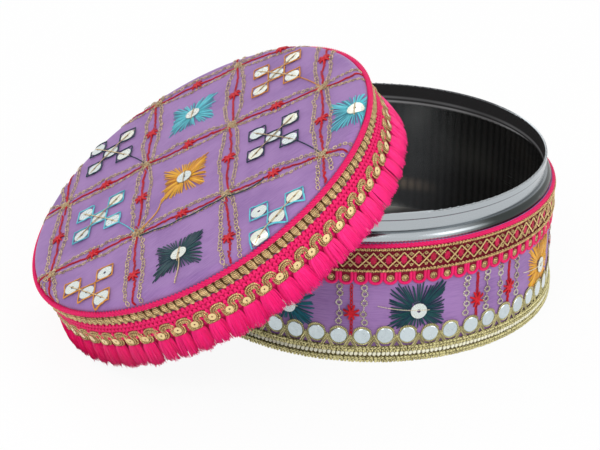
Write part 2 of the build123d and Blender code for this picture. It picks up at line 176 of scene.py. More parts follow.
class Graph:
    """Shader graph of one material or of the world."""

    def __init__(self, owner: "bpy.types.Material | bpy.types.World", kind: str = "Material") -> None:
        """Empties the owner's node tree and gives it the output node of its kind."""
        owner.use_nodes = True
        self.tree = owner.node_tree
        self.tree.nodes.clear()
        self.output = self.tree.nodes.new(f"ShaderNodeOutput{kind}")

    def node(self, kind: str, settings: dict[str, Any], inputs: dict[Any, Any], output: Any = 0) -> Signal:
        """Adds a node, sets it and links or fills its sockets.

        Args:
            kind: Blender's name of the node's type, without its first words.
            settings: Values set on the node first.
            inputs: Value or signal for each input, by name or number.
            output: Name or number of the output that is wanted.

        Returns:
            The signal of that output.
        """
        made = self.tree.nodes.new(f"ShaderNode{kind}")
        for key, value in settings.items():
            setattr(made, key, value)
        for key, value in inputs.items():
            if isinstance(value, Signal):
                self.tree.links.new(value.socket, made.inputs[key])
            else:
                made.inputs[key].default_value = value
        return Signal(self, made.outputs[output])

    def math(self, operation: str, *values: Any) -> Signal:
        """Result of a Math node on one or two values."""
        return self.node("Math", {"operation": operation}, dict(enumerate(values)))

    def axes(self, vector: Signal) -> tuple[Signal, ...]:
        """The three values of a vector."""
        return tuple(self.node("SeparateXYZ", {}, {0: vector}, axis) for axis in range(3))

    def grain(self) -> tuple[Signal, ...]:
        """Along, across and tone values that each piece carries in its grain attribute."""
        return self.axes(self.node("Attribute", {"attribute_name": GRAIN}, {}, "Vector"))

    def place(self) -> Signal:
        """Place on the object, in metres."""
        return self.node("TexCoord", {}, {}, "Object")

    def seen(self) -> Signal:
        """1 for rays of the camera, of a mirror or through glass, else 0."""
        camera, mirror, glass = [
            self.node("LightPath", {}, {}, f"Is {kind} Ray") for kind in ("Camera", "Glossy", "Transmission")
        ]
        return self.math("MAXIMUM", self.math("MAXIMUM", camera, mirror), glass)

    def noise(self, vector: Any, scale: float, detail: float = 2.0) -> Signal:
        """Cloudy pattern from 0 to 1 over a vector, with so many cells to a unit."""
        inputs = {"Vector": vector, "Scale": scale, "Detail": detail, "Roughness": 0.5}
        return self.node("TexNoise", {}, inputs, "Fac")

    def vector(self, x: Any, y: Any, z: Any) -> Signal:
        """Vector of three values."""
        return self.node("CombineXYZ", {}, {0: x, 1: y, 2: z})

    def blend(self, share: Any, first: Any, second: Any) -> Signal:
        """Colour between two others, the first at share 0."""
        return self.node("Mix", {"data_type": "RGBA"}, {0: share, 6: first, 7: second}, 2)

    def ramp(self, value: Any, low: float, high: float, start: float = 0.0, end: float = 1.0) -> Signal:
        """Value carried smoothly from start at low to end at high, and held beyond them."""
        settings = {"interpolation_type": "SMOOTHSTEP"}
        inputs = {"Value": value, "From Min": low, "From Max": high, "To Min": start, "To Max": end}
        return self.node("MapRange", settings, inputs)

    def bump(self, height: Any, depth: float) -> Signal:
        """Normal raised by a height from 0 to 1, times a depth in metres."""
        return self.node("Bump", {}, {"Height": height, "Distance": depth, "Strength": 1.0}, "Normal")

    def end(self, shader: Signal) -> None:
        """Links a shader to the output."""
        self.tree.links.new(shader.socket, self.output.inputs["Surface"])

    def principled(self, **inputs: Any) -> None:
        """Ends the graph in a Principled shader, whose inputs are named in lower case."""
        named = {key.replace("_", " ").title().replace("Ior", "IOR"): value for key, value in inputs.items()}
        self.end(self.node("BsdfPrincipled", {}, named))


class Finish(ABC):
    """One finish, made into a material once."""

    @abstractmethod
    def paint(self, graph: Graph) -> None:
        """Fills the graph with this finish."""

    def material(self) -> bpy.types.Material:
        """The finish's material, made at its first use and named by the finish's values."""
        values = (getattr(self, part.name) for part in fields(self))
        words = (value.name if isinstance(value, Enum) else f"{value:g}" for value in values)
        name = "_".join((type(self).__name__, *words)).lower()
        found = bpy.data.materials.get(name)
        if not found:
            found = bpy.data.materials.new(name)
            self.paint(Graph(found))
        return found


@dataclass(frozen=True)
class Cloth(Finish):
    """Fine plain-woven cotton with slubs and faint clouds of tone."""

    tint: Tint = Tint.LILAC
    shade: Tint = Tint.LILAC_SHADE
    yarn: float = 0.42

    def paint(self, graph: Graph) -> None:
        """Crossed yarn waves for the bump, stretched noise for slubs and clouds for the tone."""
        along, across, _ = graph.grain()
        warp = (along * (TURN / self.yarn)).sine()
        weft = (across * (TURN / self.yarn)).sine()
        weave = warp * weft * 0.25 + 0.5
        slub = graph.noise(graph.vector(along * 0.12, across * 2.2, 0.0), 1.0, 3.0)
        cloud = graph.noise(graph.vector(along * 0.05, across * 0.05, 3.0), 1.0, 3.0)
        share = graph.ramp(slub * 0.5 + cloud * 0.5, 0.4, 0.68)
        colour = graph.blend(share, self.tint.linear, self.shade.linear)
        height = weave * 0.5 + slub * 0.9
        graph.principled(
            base_color=colour,
            roughness=graph.ramp(slub, 0.3, 0.7, 0.72, 0.86),
            normal=graph.bump(height, 0.00012),
            sheen_weight=0.25,
            sheen_roughness=0.4,
            specular_ior_level=0.25,
        )


@dataclass(frozen=True)
class Yarn(Finish):
    """Twisted thread: fine slanted fibres, each thread of its own tone."""

    tint: Tint
    dark: Tint
    gloss: float = 0.42
    fibre: float = 0.55
    sheen: float = 0.04

    def paint(self, graph: Graph) -> None:
        """Fibre waves that climb round the thread as they run along it."""
        along, around, tone = graph.grain()
        wave = ((along * (1 / self.fibre) + around * 2.0) * TURN).sine() * 0.5 + 0.5
        wear = graph.noise(graph.vector(along * 0.7, around * 3.0, tone * 9.0), 1.0, 2.0)
        # The grooves between fibres go toward the dark tint: painted shade; wear and tone are the thread's own.
        share = graph.ramp(tone * 0.6 + wear * 0.3 + (1 - wave) * 0.25, 0.3, 1.05)
        graph.principled(
            base_color=graph.blend(share, self.tint.linear, self.dark.linear),
            roughness=graph.ramp(wave, 0.0, 1.0, self.gloss + 0.14, self.gloss),
            normal=graph.bump(wave, 0.00014),
            sheen_weight=self.sheen,
            sheen_roughness=0.35,
            specular_ior_level=0.25,
        )


@dataclass(frozen=True)
class MetalThread(Finish):
    """Thread wound with flat metal strip: bright windings with painted shade between them, which also stands in for the
    light and dark of reflections.
    """

    tint: Tint
    dark: Tint
    winding: float = 0.9
    gloss: float = 0.26
    contrast: float = 0.6
    metal: float = 0.85

    def paint(self, graph: Graph) -> None:
        """Windings as a sharp wave along the thread, darkened between windings as painted shade, with tarnish from
        noise.
        """
        along, around, tone = graph.grain()
        wave = ((along * (1 / self.winding) + around) * TURN).sine() * 0.5 + 0.5
        tarnish = graph.noise(graph.vector(along * 0.9, around * 2.0, tone * 7.0), 1.0, 3.0)
        # Between windings the colour goes toward the dark tint: painted shade; tarnish and tone are the thread's own.
        share = graph.ramp(tarnish * 0.6 + tone * 0.35 + (1 - wave) * self.contrast, 0.5, 1.2)
        graph.principled(
            base_color=graph.blend(share, self.tint.linear, self.dark.linear),
            metallic=graph.ramp(share, 0.0, 1.0, self.metal, self.metal * 0.55),
            roughness=graph.ramp(tarnish, 0.3, 0.7, self.gloss, self.gloss + 0.2),
            normal=graph.bump(wave, 0.0003),
        )


@dataclass(frozen=True)
class Spangle(Finish):
    """Thin shiny spangle with a faint tint that shifts from one to the next."""

    tint: Tint
    other: Tint
    gloss: float = 0.2

    def paint(self, graph: Graph) -> None:
        """Tone of its own for each spangle and small dents."""
        _, _, tone = graph.grain()
        dents = graph.noise(graph.place(), 600.0, 2.0)
        share = graph.ramp(tone * 0.5 + dents * 0.5, 0.3, 0.9, 0.0, 0.8)
        graph.principled(
            base_color=graph.blend(share, self.tint.linear, self.other.linear),
            metallic=graph.ramp(dents, 0.0, 1.0, 0.45, 0.7),
            roughness=graph.ramp(dents, 0.3, 0.7, self.gloss, self.gloss + 0.15),
            normal=graph.bump(dents, 0.00005),
            coat_weight=0.4,
            coat_roughness=0.12,
        )


@dataclass(frozen=True)
class MirrorGlass(Finish):
    """Small silvered mirror behind glass, with smudges."""

    tint: Tint = Tint.MIRROR

    def paint(self, graph: Graph) -> None:
        """Clouds of smudge in colour and gloss."""
        _, _, tone = graph.grain()
        smudge = graph.noise(graph.place(), 420.0, 4.0)
        share = graph.ramp(smudge * 0.6 + tone * 0.5, 0.35, 0.95, 0.0, 0.3)
        graph.principled(
            base_color=graph.blend(share, self.tint.linear, Linear.SMUDGE.value),
            metallic=graph.ramp(smudge, 0.2, 0.8, 0.86, 0.7),
            roughness=graph.ramp(smudge, 0.35, 0.75, 0.08, 0.24),
            normal=graph.bump(smudge, 0.00003),
            coat_weight=0.6,
            coat_roughness=0.04,
        )


@dataclass(frozen=True, kw_only=True)
class Steel(Finish):
    """Polished stainless steel: pale outside with painted dark reflection and shade, painted near-black reflection
    inside, and painted reflected bands that glow where it bends.
    """

    tint: Tint = Tint.STEEL
    # The inside's colour is painted dark reflection and shade.
    inside: Tint = Tint.DARK_STEEL
    wall: float
    step: float
    gloss: float = 0.16

    def paint(self, graph: Graph) -> None:
        """Colour split at the wall's middle radius, with painted reflections: glowing bands by height inside that come
        and go with the angle, and painted dark reflection and shade on the outside.

        The step is the height of the shoulder, and the skin's outside lies beyond the shoulder's round corner.
        """

        def ramp(value: Signal, low: float, high: float, start: float = 0.0, end: float = 1.0) -> Signal:
            """Value carried from start to end between two places in millimetres."""
            return graph.ramp(value, low * MM, high * MM, start, end)

        def band(middle: float, half: float) -> Signal:
            """Soft band over the height, 1 at a middle and 0 half a width away, in millimetres."""
            return ramp(graph.math("ABSOLUTE", z - middle * MM), 0.0, half, 1.0, 0.0)

        def over(low: float, high: float, start: float = 0.0, end: float = 1.0) -> Signal:
            """Ramp over the height, between two distances above the shoulder."""
            return ramp(z, self.step + low, self.step + high, start, end)

        place = graph.place()
        x, y, z = graph.axes(place)
        reach = (x * x + y * y).power(0.5)
        angle = graph.math("ARCTAN2", y, x)
        marks = graph.noise(graph.vector(reach * 900.0, z * 1500.0, 0.0), 1.0, 3.0)
        cloud = graph.noise(place, 20.0)
        lip = over(11.35, 11.6)
        across = ramp(reach, self.wall + 0.3, self.wall + 4.3, 0.0, 4 * MM)
        above = over(-1.4, 2.6, 0.0, 4 * MM)
        skin = ramp((across * across + above * above).power(0.5), 3.1, 3.3)
        outer = ramp(reach, self.wall - 0.1, self.wall + 0.1) * skin
        outer = outer + lip * (1 - outer)
        # Painted reflections for the inside: soft patches, a far-side share and bright bands by height, a warm band low
        # down and soft light on the bottom.
        patches = graph.ramp(graph.noise(graph.vector(x * 16, y * 16, 0.0), 1.0, 1.0), 0.4, 0.62)
        far = graph.ramp((angle - 2.0).cosine(), 0.0, 1.0, 0.35, 1.0)
        bands = band(self.step, 1.9) + band(self.step + 3.8, 1.3) * 0.45
        # The inside's colour is painted dark reflection, near-black higher up.
        upper = over(1, 3)
        inside_dark_reflection = graph.blend(upper, self.inside.linear, Linear.NECK_INSIDE.value)
        band_reflection_share = bands * far * (patches * 0.5 + 0.5)
        painted_reflection = graph.blend(band_reflection_share, Linear.DARK_ROOM.value, Linear.BRIGHT_BAND.value)
        streak_reflection_share = band(self.step * 0.24, 6.0) * graph.ramp((angle - 1.5).cosine(), 0.72, 0.97)
        painted_reflection = graph.blend(streak_reflection_share, painted_reflection, Linear.WARM_STREAK.value)
        bottom_reflection_share = graph.ramp(graph.noise(graph.vector(x * 14, y * 26, 3.0), 1.0, 1.0), 0.45, 0.75)
        painted_reflection = graph.blend(bottom_reflection_share * ramp(z, 0.0, 4, 1.0, 0.0), painted_reflection, Linear.BOTTOM_POOL.value)
        # Painted dark reflection on part of the outer shoulder, by the angle.
        below = over(1.7, 2.1, 1.0, 0.0)
        shoulder = below * graph.ramp((angle + 0.3).cosine(), 0.3, 0.62)
        outer_reflection_and_shade = graph.blend(shoulder, self.tint.linear, Linear.SHOULDER.value)
        # Painted shade in the hem seam and in the groove at the neck's foot.
        seam = band(self.step + 8.5, 0.36) + band(self.step + 2.2, 0.5)
        outer_reflection_and_shade = graph.blend(seam * 0.6, outer_reflection_and_shade, Linear.NECK_LINE.value)
        # Painted dark reflection on the top of the neck at the back.
        back = graph.ramp((angle - 0.1).sine(), 0.02, 0.3) * over(10, 11)
        outer_reflection_and_shade = graph.blend(back * 0.9, outer_reflection_and_shade, Linear.NECK_BACK.value)
        graph.principled(
            base_color=graph.blend(outer, inside_dark_reflection, outer_reflection_and_shade),
            metallic=graph.ramp(outer, 0.0, 1.0, 0.6, 1.0),
            # The inside glows with its painted reflections, the outside not.
            emission_color=graph.blend(outer, painted_reflection, Linear.BLACK.value),
            emission_strength=1.0,
            roughness=graph.ramp(marks * 0.5 + cloud * 0.5, 0.3, 0.7, self.gloss, self.gloss + 0.12),
            normal=graph.bump(marks, 0.000004),
            specular_ior_level=0.2,
        )


@dataclass(frozen=True)
class PlainSteel(Finish):
    """Plain stainless steel with faint marks."""

    tint: Tint = Tint.STEEL

    def paint(self, graph: Graph) -> None:
        """Marks as a fine noise in the roughness."""
        marks = graph.noise(graph.place(), 900.0, 3.0)
        roughness = graph.ramp(marks, 0.3, 0.7, 0.2, 0.32)
        graph.principled(base_color=self.tint.linear, metallic=1.0, roughness=roughness)


@dataclass(frozen=True)
class Foam(Finish):
    """Open-celled foam."""

    tint: Tint = Tint.FOAM

    def paint(self, graph: Graph) -> None:
        """Cells as a fine noise."""
        cells = graph.noise(graph.place(), 1500.0, 2.0)
        colour = graph.blend(graph.ramp(cells, 0.3, 0.7), self.tint.linear, Linear.FOAM_CELL.value)
        graph.principled(base_color=colour, roughness=0.95, normal=graph.bump(cells, 0.0003))


PINK_YARN = Yarn(Tint.HOT_PINK, Tint.DEEP_PINK)
GOLD_THREAD = MetalThread(Tint.GOLD, Tint.DARK_GOLD)
PALE_THREAD = MetalThread(Tint.PALE_GOLD, Tint.DARK_GOLD)
KNOT_THREAD = MetalThread(Tint.RING_THREAD, Tint.DARK_GOLD, metal=0.4)
SPANGLE_SHINE = Spangle(Tint.SPANGLE, Tint.WARM_SHINE)


@dataclass
class Shape:
    """A surface under construction: points, faces (-1 ends a triangle) and grain for its material."""

    points: Array
    faces: Array
    grain: Array

    @staticmethod
    def join(shapes: Sequence["Shape"]) -> "Shape":
        """One surface of several."""
        starts = np.cumsum([0] + [len(shape.points) for shape in shapes[:-1]])
        faces = [np.where(s.faces < 0, -1, s.faces + start) for s, start in zip(shapes, starts)]
        points = np.concatenate([shape.points for shape in shapes])
        return Shape(points, np.concatenate(faces), np.concatenate([s.grain for s in shapes]))

    def at(self, points: Array) -> "Shape":
        """The same surface with its points at other places."""
        return Shape(points.reshape(-1, 3), self.faces, self.grain)

    def on(self, carrier: "Carrier") -> "Shape":
        """The same surface, wrapped on a carrier."""
        return self.at(carrier.wrap(self.points))


def seeded(number: int) -> Any:
    """Dataclass field with a random source that starts from a number."""
    return field(default_factory=lambda: np.random.default_rng(number))


def vec(*numbers: Any) -> Array:
    """Numbers as an array."""
    return np.array(numbers)


def turns(count: int, shift: float = 0.0) -> Array:
    """Angles that share a full turn evenly, moved on by a share of a step."""
    return TURN * (np.arange(count) + shift) / count


def circle(angle: Any) -> Array:
    """Places at angles on a circle of radius one."""
    return np.stack((np.cos(angle), np.sin(angle)), axis=-1)


def outline(corners: Array, share: Array) -> Array:
    """Places on the straight lines from corner to corner, at numbers of corners passed."""
    return np.stack([np.interp(share, np.arange(len(corners)), corners[:, axis]) for axis in range(2)], axis=1)


def unit(vectors: Array) -> Array:
    """Vectors of length one in the same directions."""
    return vectors / np.maximum(np.linalg.norm(vectors, axis=-1, keepdims=True), 1e-9)


def traced(x: Any, y: Any, z: Any) -> Array:
    """Points from three arrays of coordinates that are spread to one form."""
    return np.stack(np.broadcast_arrays(x, y, z), -1).astype(float)


def raised(flat: Array, out: Any) -> Array:
    """Flat places with heights over the cloth."""
    return traced(flat[..., 0], flat[..., 1], out)


def between(starts: Array, ends: Array, share: Array) -> Array:
    """Places at shares of the way from each start to its end."""
    return starts[..., None, :] + share[:, None] * (ends - starts)[..., None, :]


def cap_fan(sides: int, flipped: bool) -> Array:
    """Quads, with one triangle for an odd number of sides, that close a ring of points."""
    rows = []
    for start in range(1, sides - 1, 2):
        corners = [0, start, start + 1] + ([start + 2] if start + 2 < sides else [])
        corners = corners[::-1] if flipped else corners
        rows.append(corners + [-1] * (4 - len(corners)))
    return np.array(rows)


def end_caps(rows: int, sides: int, flipped: bool) -> Array:
    """Faces that close the first and the last ring of a grid of points."""
    last = cap_fan(sides, flipped)
    return np.concatenate((cap_fan(sides, not flipped), np.where(last < 0, -1, last + (rows - 1) * sides)))


def grid_faces(rows: int, sides: int, ringed: bool) -> Array:
    """Quads of a grid of points whose rows are rings, with the last row joined to the first if ringed."""
    i = np.arange(rows if ringed else rows - 1)[:, None]
    j = np.arange(sides)[None, :]
    after = (i + 1) % rows
    beside = (j + 1) % sides
    corners = (i * sides + j, after * sides + j, after * sides + beside, i * sides + beside)
    return np.stack(np.broadcast_arrays(*corners), -1).reshape(-1, 4)


def tangents(lines: Array, closed: bool, period: float) -> Array:
    """Directions along lines of points.

    Args:
        lines: Points, with the steps of a line on the last axis but one.
        closed: Whether each line is a ring.
        period: How far along a ring that runs round the whole body starts again.

    Returns:
        The directions, of length one.
    """
    if not closed:
        return unit(np.gradient(lines, axis=-2))
    shift = vec(period, 0.0, 0.0)
    ahead = np.concatenate((lines[..., 1:, :], lines[..., :1, :] + shift), axis=-2)
    behind = np.concatenate((lines[..., -1:, :] - shift, lines[..., :-1, :]), axis=-2)
    return unit(ahead - behind)


def tubes(
    lines: Array,
    width: Any,
    height: Any = None,
    normal: Array = OUT,
    sides: int = 6,
    closed: bool = False,
    period: float = 0.0,
    tone: Any = 0.0,
) -> Shape:
    """Tubes along many lines at once.

    A point of a tube is its line plus width times the cosine of an angle along the side direction, plus
    height times the sine along the upward one. The side is the normal crossed with the tangent.

    Args:
        lines: Points, as tube by step by three.
        width: Half the width, for all or for each step.
        height: Half the height, the width if left out.
        normal: Direction out of the cloth, for all or for each step.
        sides: Points round the tube.
        closed: Whether each line is a ring.
        period: How far along a ring that runs round the whole body starts again.
        tone: Value of each tube for its colour.

    Returns:
        The surface of all the tubes.
    """
    count, steps, _ = lines.shape
    tangent = tangents(lines, closed, period)
    side = unit(np.cross(np.broadcast_to(normal, lines.shape), tangent))
    upward = np.cross(tangent, side)
    width = np.broadcast_to(width, (count, steps))[..., None, None]
    height = width if height is None else np.broadcast_to(height, (count, steps))[..., None, None]
    angle = turns(sides, 0.5)[:, None]
    points = lines[:, :, None] + width * np.cos(angle) * side[:, :, None]
    points = points + height * np.sin(angle) * upward[:, :, None]
    faces = grid_faces(steps, sides, closed)[:, (0, 3, 2, 1)]
    if not closed:
        faces = np.concatenate((faces, end_caps(steps, sides, False)))
    blocks = np.arange(count)[:, None, None] * steps * sides
    faces = np.where(faces < 0, -1, faces + blocks).reshape(-1, 4)
    gaps = np.linalg.norm(np.diff(lines, axis=1), axis=2)
    along = np.concatenate((np.zeros((count, 1)), np.cumsum(gaps, axis=1)), axis=1)
    grain = traced(along[..., None], np.arange(sides) / sides, np.broadcast_to(tone, count)[:, None, None])
    return Shape(points.reshape(-1, 3), faces, grain.reshape(-1, 3))


def netted(points: Array, grain: Array, ringed: bool = True) -> Shape:
    """Surface over a grid of points whose rows are rings.

    Args:
        points: Grid of points, as row by side by three, with row crossed with side outward.
        grain: Grain of each point, in the same grid.
        ringed: Whether the last row joins up with the first.

    Returns:
        The surface.
    """
    return Shape(points.reshape(-1, 3), grid_faces(*points.shape[:2], ringed), grain.reshape(-1, 3))


def band(side: "Side", span: "Span", relief: Any, steps: int, rows: int) -> Shape:
    """Closed flat band round a body: a front of given relief and a back on the cloth.

    Args:
        side: Carrier that the band goes round.
        span: Reach, for the lower and the upper edge.
        relief: Function of the along and up grids that gives the front's height, or the height itself.
        steps: Points round the body.
        rows: Points up the front.

    Returns:
        The surface, drawn flat.
    """
    along = np.arange(steps) / steps * side.length
    x, y = np.meshgrid(along, np.linspace(span.low, span.high, rows), indexing="ij")
    front = traced(x, y, relief(x, y) if callable(relief) else relief)
    points = np.concatenate((front, traced(x, y, 0.0)[:, ::-1]), axis=1)
    return netted(points, raised(points, 0.0))


@dataclass(frozen=True)
class Placement:
    """Turned and moved frame of the box or the lid."""

    rotation: Array
    origin: Array

    def outward(self, points: Array) -> Array:
        """Points of this frame in the part's frame."""
        return points @ self.rotation.T + self.origin

    def inward(self, points: Array) -> Array:
        """Points of the part's frame in this frame."""
        return (points - self.origin) @ self.rotation

    @staticmethod
    def of_ring(points: Array) -> "Placement":
        """Frame of a leaning ring: its centre, and its thinnest direction as the upward axis.

        Args:
            points: Points of the ring.

        Returns:
            The frame, with its second axis along the part's.
        """
        centre = (points.min(axis=0) + points.max(axis=0)) / 2
        axes = np.linalg.svd((points - centre).T @ (points - centre))[0]
        up = axes[:, 2] * np.sign(axes[2, 2])
        across = unit(UP - (UP @ up) * up)
        return Placement(np.stack((np.cross(across, up), across, up), axis=1), centre)


@dataclass(frozen=True)
class Span:
    """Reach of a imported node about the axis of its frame."""

    inner: float
    outer: float
    low: float
    high: float

    @property
    def middle(self) -> float:
        """Height of the middle."""
        return (self.low + self.high) / 2

    @property
    def tall(self) -> float:
        """Height from the lowest point to the highest."""
        return self.high - self.low

    @property
    def thick(self) -> float:
        """Thickness along the radius."""
        return self.outer - self.inner


class Carrier(ABC):
    """A surface that flat ornament is wrapped on."""

    @abstractmethod
    def wrap(self, points: Array) -> Array:
        """Points (along, up, out) of the flat drawing in the part's frame."""


@dataclass(frozen=True)
class Side(Carrier):
    """Round side of the box or the lid: along runs round it and starts at its first axis."""

    place: Placement
    radius: float

    @property
    def length(self) -> float:
        """Length once round."""
        return TURN * self.radius

    def along(self, degrees: float) -> float:
        """How far along an angle lies."""
        return math.radians(degrees) * self.radius

    def wrap(self, points: Array) -> Array:
        """Along divided by the radius is the angle, and out adds to the radius."""
        angle = points[:, 0] / self.radius
        reach = self.radius + points[:, 2]
        return self.place.outward(traced(reach * np.cos(angle), reach * np.sin(angle), points[:, 1]))


@dataclass(frozen=True)
class Lattice:
    """Turned grid of stitched lines on the lid's top."""

    turn: float = -21.6
    step_x: float = 52.4
    step_y: float = 63.2
    origin: tuple[float, float] = (29.3, 14.1)
    reach: float = 98.0
    pull: float = 0.0025
    pull_start: float = 25.0
    side_pull: float = 0.009
    side_start: float = 60.0

    @property
    def axes(self) -> Array:
        """Directions of the grid's columns and rows."""
        turn = math.radians(self.turn)
        return np.array(((math.cos(turn), math.sin(turn)), (-math.sin(turn), math.cos(turn))))

    def point(self, column: float, row: float) -> Array:
        """Place of a grid point."""
        right, up = self.axes
        place = np.array(self.origin) + column * self.step_x * right + row * self.step_y * up
        return place - (0.0, float(self.sag(*place)))

    def cells_of(self, x: Array, y: Array) -> tuple[Array, Array]:
        """Column and row of places, as fractions."""
        cosine, sine = self.axes[0]
        away_x = x - self.origin[0]
        away_y = y + self.sag(x, y) * 0.85 - self.origin[1]
        return (away_x * cosine + away_y * sine) / self.step_x, (away_y * cosine - away_x * sine) / self.step_y

    def crossings(self) -> list[tuple[int, int]]:
        """Column and row of each grid point on the lid and round it."""
        return [(column, row) for column in range(-4, 5) for row in range(-3, 4)]

    def edges(self) -> list[tuple[Array, Array]]:
        """Ends of each grid edge that meets the lid's top."""
        found = []
        for column, row in self.crossings():
            start = self.point(column, row)
            for end in (self.point(column + 1, row), self.point(column, row + 1)):
                if np.hypot(*between(start, end, np.linspace(0, 1, 41)).T).min() < self.reach - 4:
                    found.append((start, end))
        return found

    def middles(self, first_column: int, turn_of_colour: int, colours: int) -> list[Array]:
        """Middles of the cells of every other column whose turn of colour matches."""
        found = []
        for pair in range(-1, 2):
            for row in range(-3, 3):
                if (pair + row + turn_of_colour) % colours == 0:
                    middle = self.point(first_column + 2 * pair + 0.5, row + 0.5)
                    if np.hypot(*middle) < self.reach + 8:
                        found.append(middle)
        return found

    def sag(self, x: Any, y: Any) -> Array:
        """How far the stitching is pulled down toward the front and right edges: squares past a straight line."""
        front = self.pull * np.maximum(-np.asarray(y) - self.pull_start, 0) ** 2
        return front + self.side_pull * np.clip(np.asarray(x) - self.side_start, 0, 34) ** 2


@dataclass(frozen=True)
class Crown(Carrier):
    """Padded top of the lid: a shallow crown, lumps of the padding and dips along the stitched lines."""

    place: Placement
    lattice: Lattice
    side: float
    edge_radius: float = 3.6
    edge_height: float = 4.4
    crown: float = 1.4
    crown_flat: float = 8.0
    lump: float = 0.38
    dip: float = 0.5
    dip_width: float = 3.2

    @property
    def flat(self) -> float:
        """Distance from the axis at which the edge begins to round over."""
        return self.side - self.edge_radius

    @property
    def rim(self) -> float:
        """Length over the top, from its middle to the foot of the round edge."""
        return self.flat + self.edge_radius * 1.4

    def height(self, x: Array, y: Array) -> Array:
        """Crown less a square of the distance, plus slow waves, less a bell curve along each grid line.

        Beyond the flat part it also falls by a quarter circle of the edge's radius.
        """
        reach = np.hypot(x, y)
        beyond = np.maximum(reach - self.crown_flat, 0) / (self.flat - self.crown_flat)
        waves = np.sin(x / 17 + y / 29 + 1.1) + np.sin(y / 13 - x / 41 + 0.4) + np.sin((x + y) / 9 + 2.0) * 0.4
        column, row = self.lattice.cells_of(x, y)
        to_column = np.abs(column - np.round(column)) * self.lattice.step_x
        to_row = np.abs(row - np.round(row)) * self.lattice.step_y
        dips = self.dip * np.exp(-((np.minimum(to_column, to_row) / self.dip_width) ** 2))
        over = np.clip(reach - self.flat, 0, self.edge_radius * 0.98)
        fall = self.edge_radius - np.sqrt(self.edge_radius**2 - over**2)
        padded = self.crown * np.maximum(1 - beyond**2, 0) + self.lump * waves * 0.5 - dips
        return self.edge_height + padded * np.clip((self.side - reach) / 5, 0, 1) - fall

    def wrap(self, points: Array) -> Array:
        """Along and up are the place on the top, and out is added along the surface's normal.

        Beyond the flat part the place is measured along the round edge.
        """
        reach = np.maximum(np.hypot(points[:, 0], points[:, 1]), 0.001)
        bend = np.clip((reach - self.flat) / self.edge_radius, 0, 1.45)
        scale = np.where(bend > 0, (self.flat + self.edge_radius * np.sin(bend)) / reach, 1.0)
        x, y = points[:, 0] * scale, points[:, 1] * scale
        step = 0.2
        slope_x = (self.height(x + step, y) - self.height(x - step, y)) / (2 * step)
        slope_y = (self.height(x, y + step) - self.height(x, y - step)) / (2 * step)
        normal = unit(traced(-slope_x, -slope_y, 1.0))
        return self.place.outward(traced(x, y, self.height(x, y)) + points[:, 2:] * normal)


def placed(name: str, data: bpy.types.ID) -> bpy.types.Object:
    """A new object in the scene."""
    made = bpy.data.objects.new(name, data)
    bpy.context.scene.collection.objects.link(made)
    return made


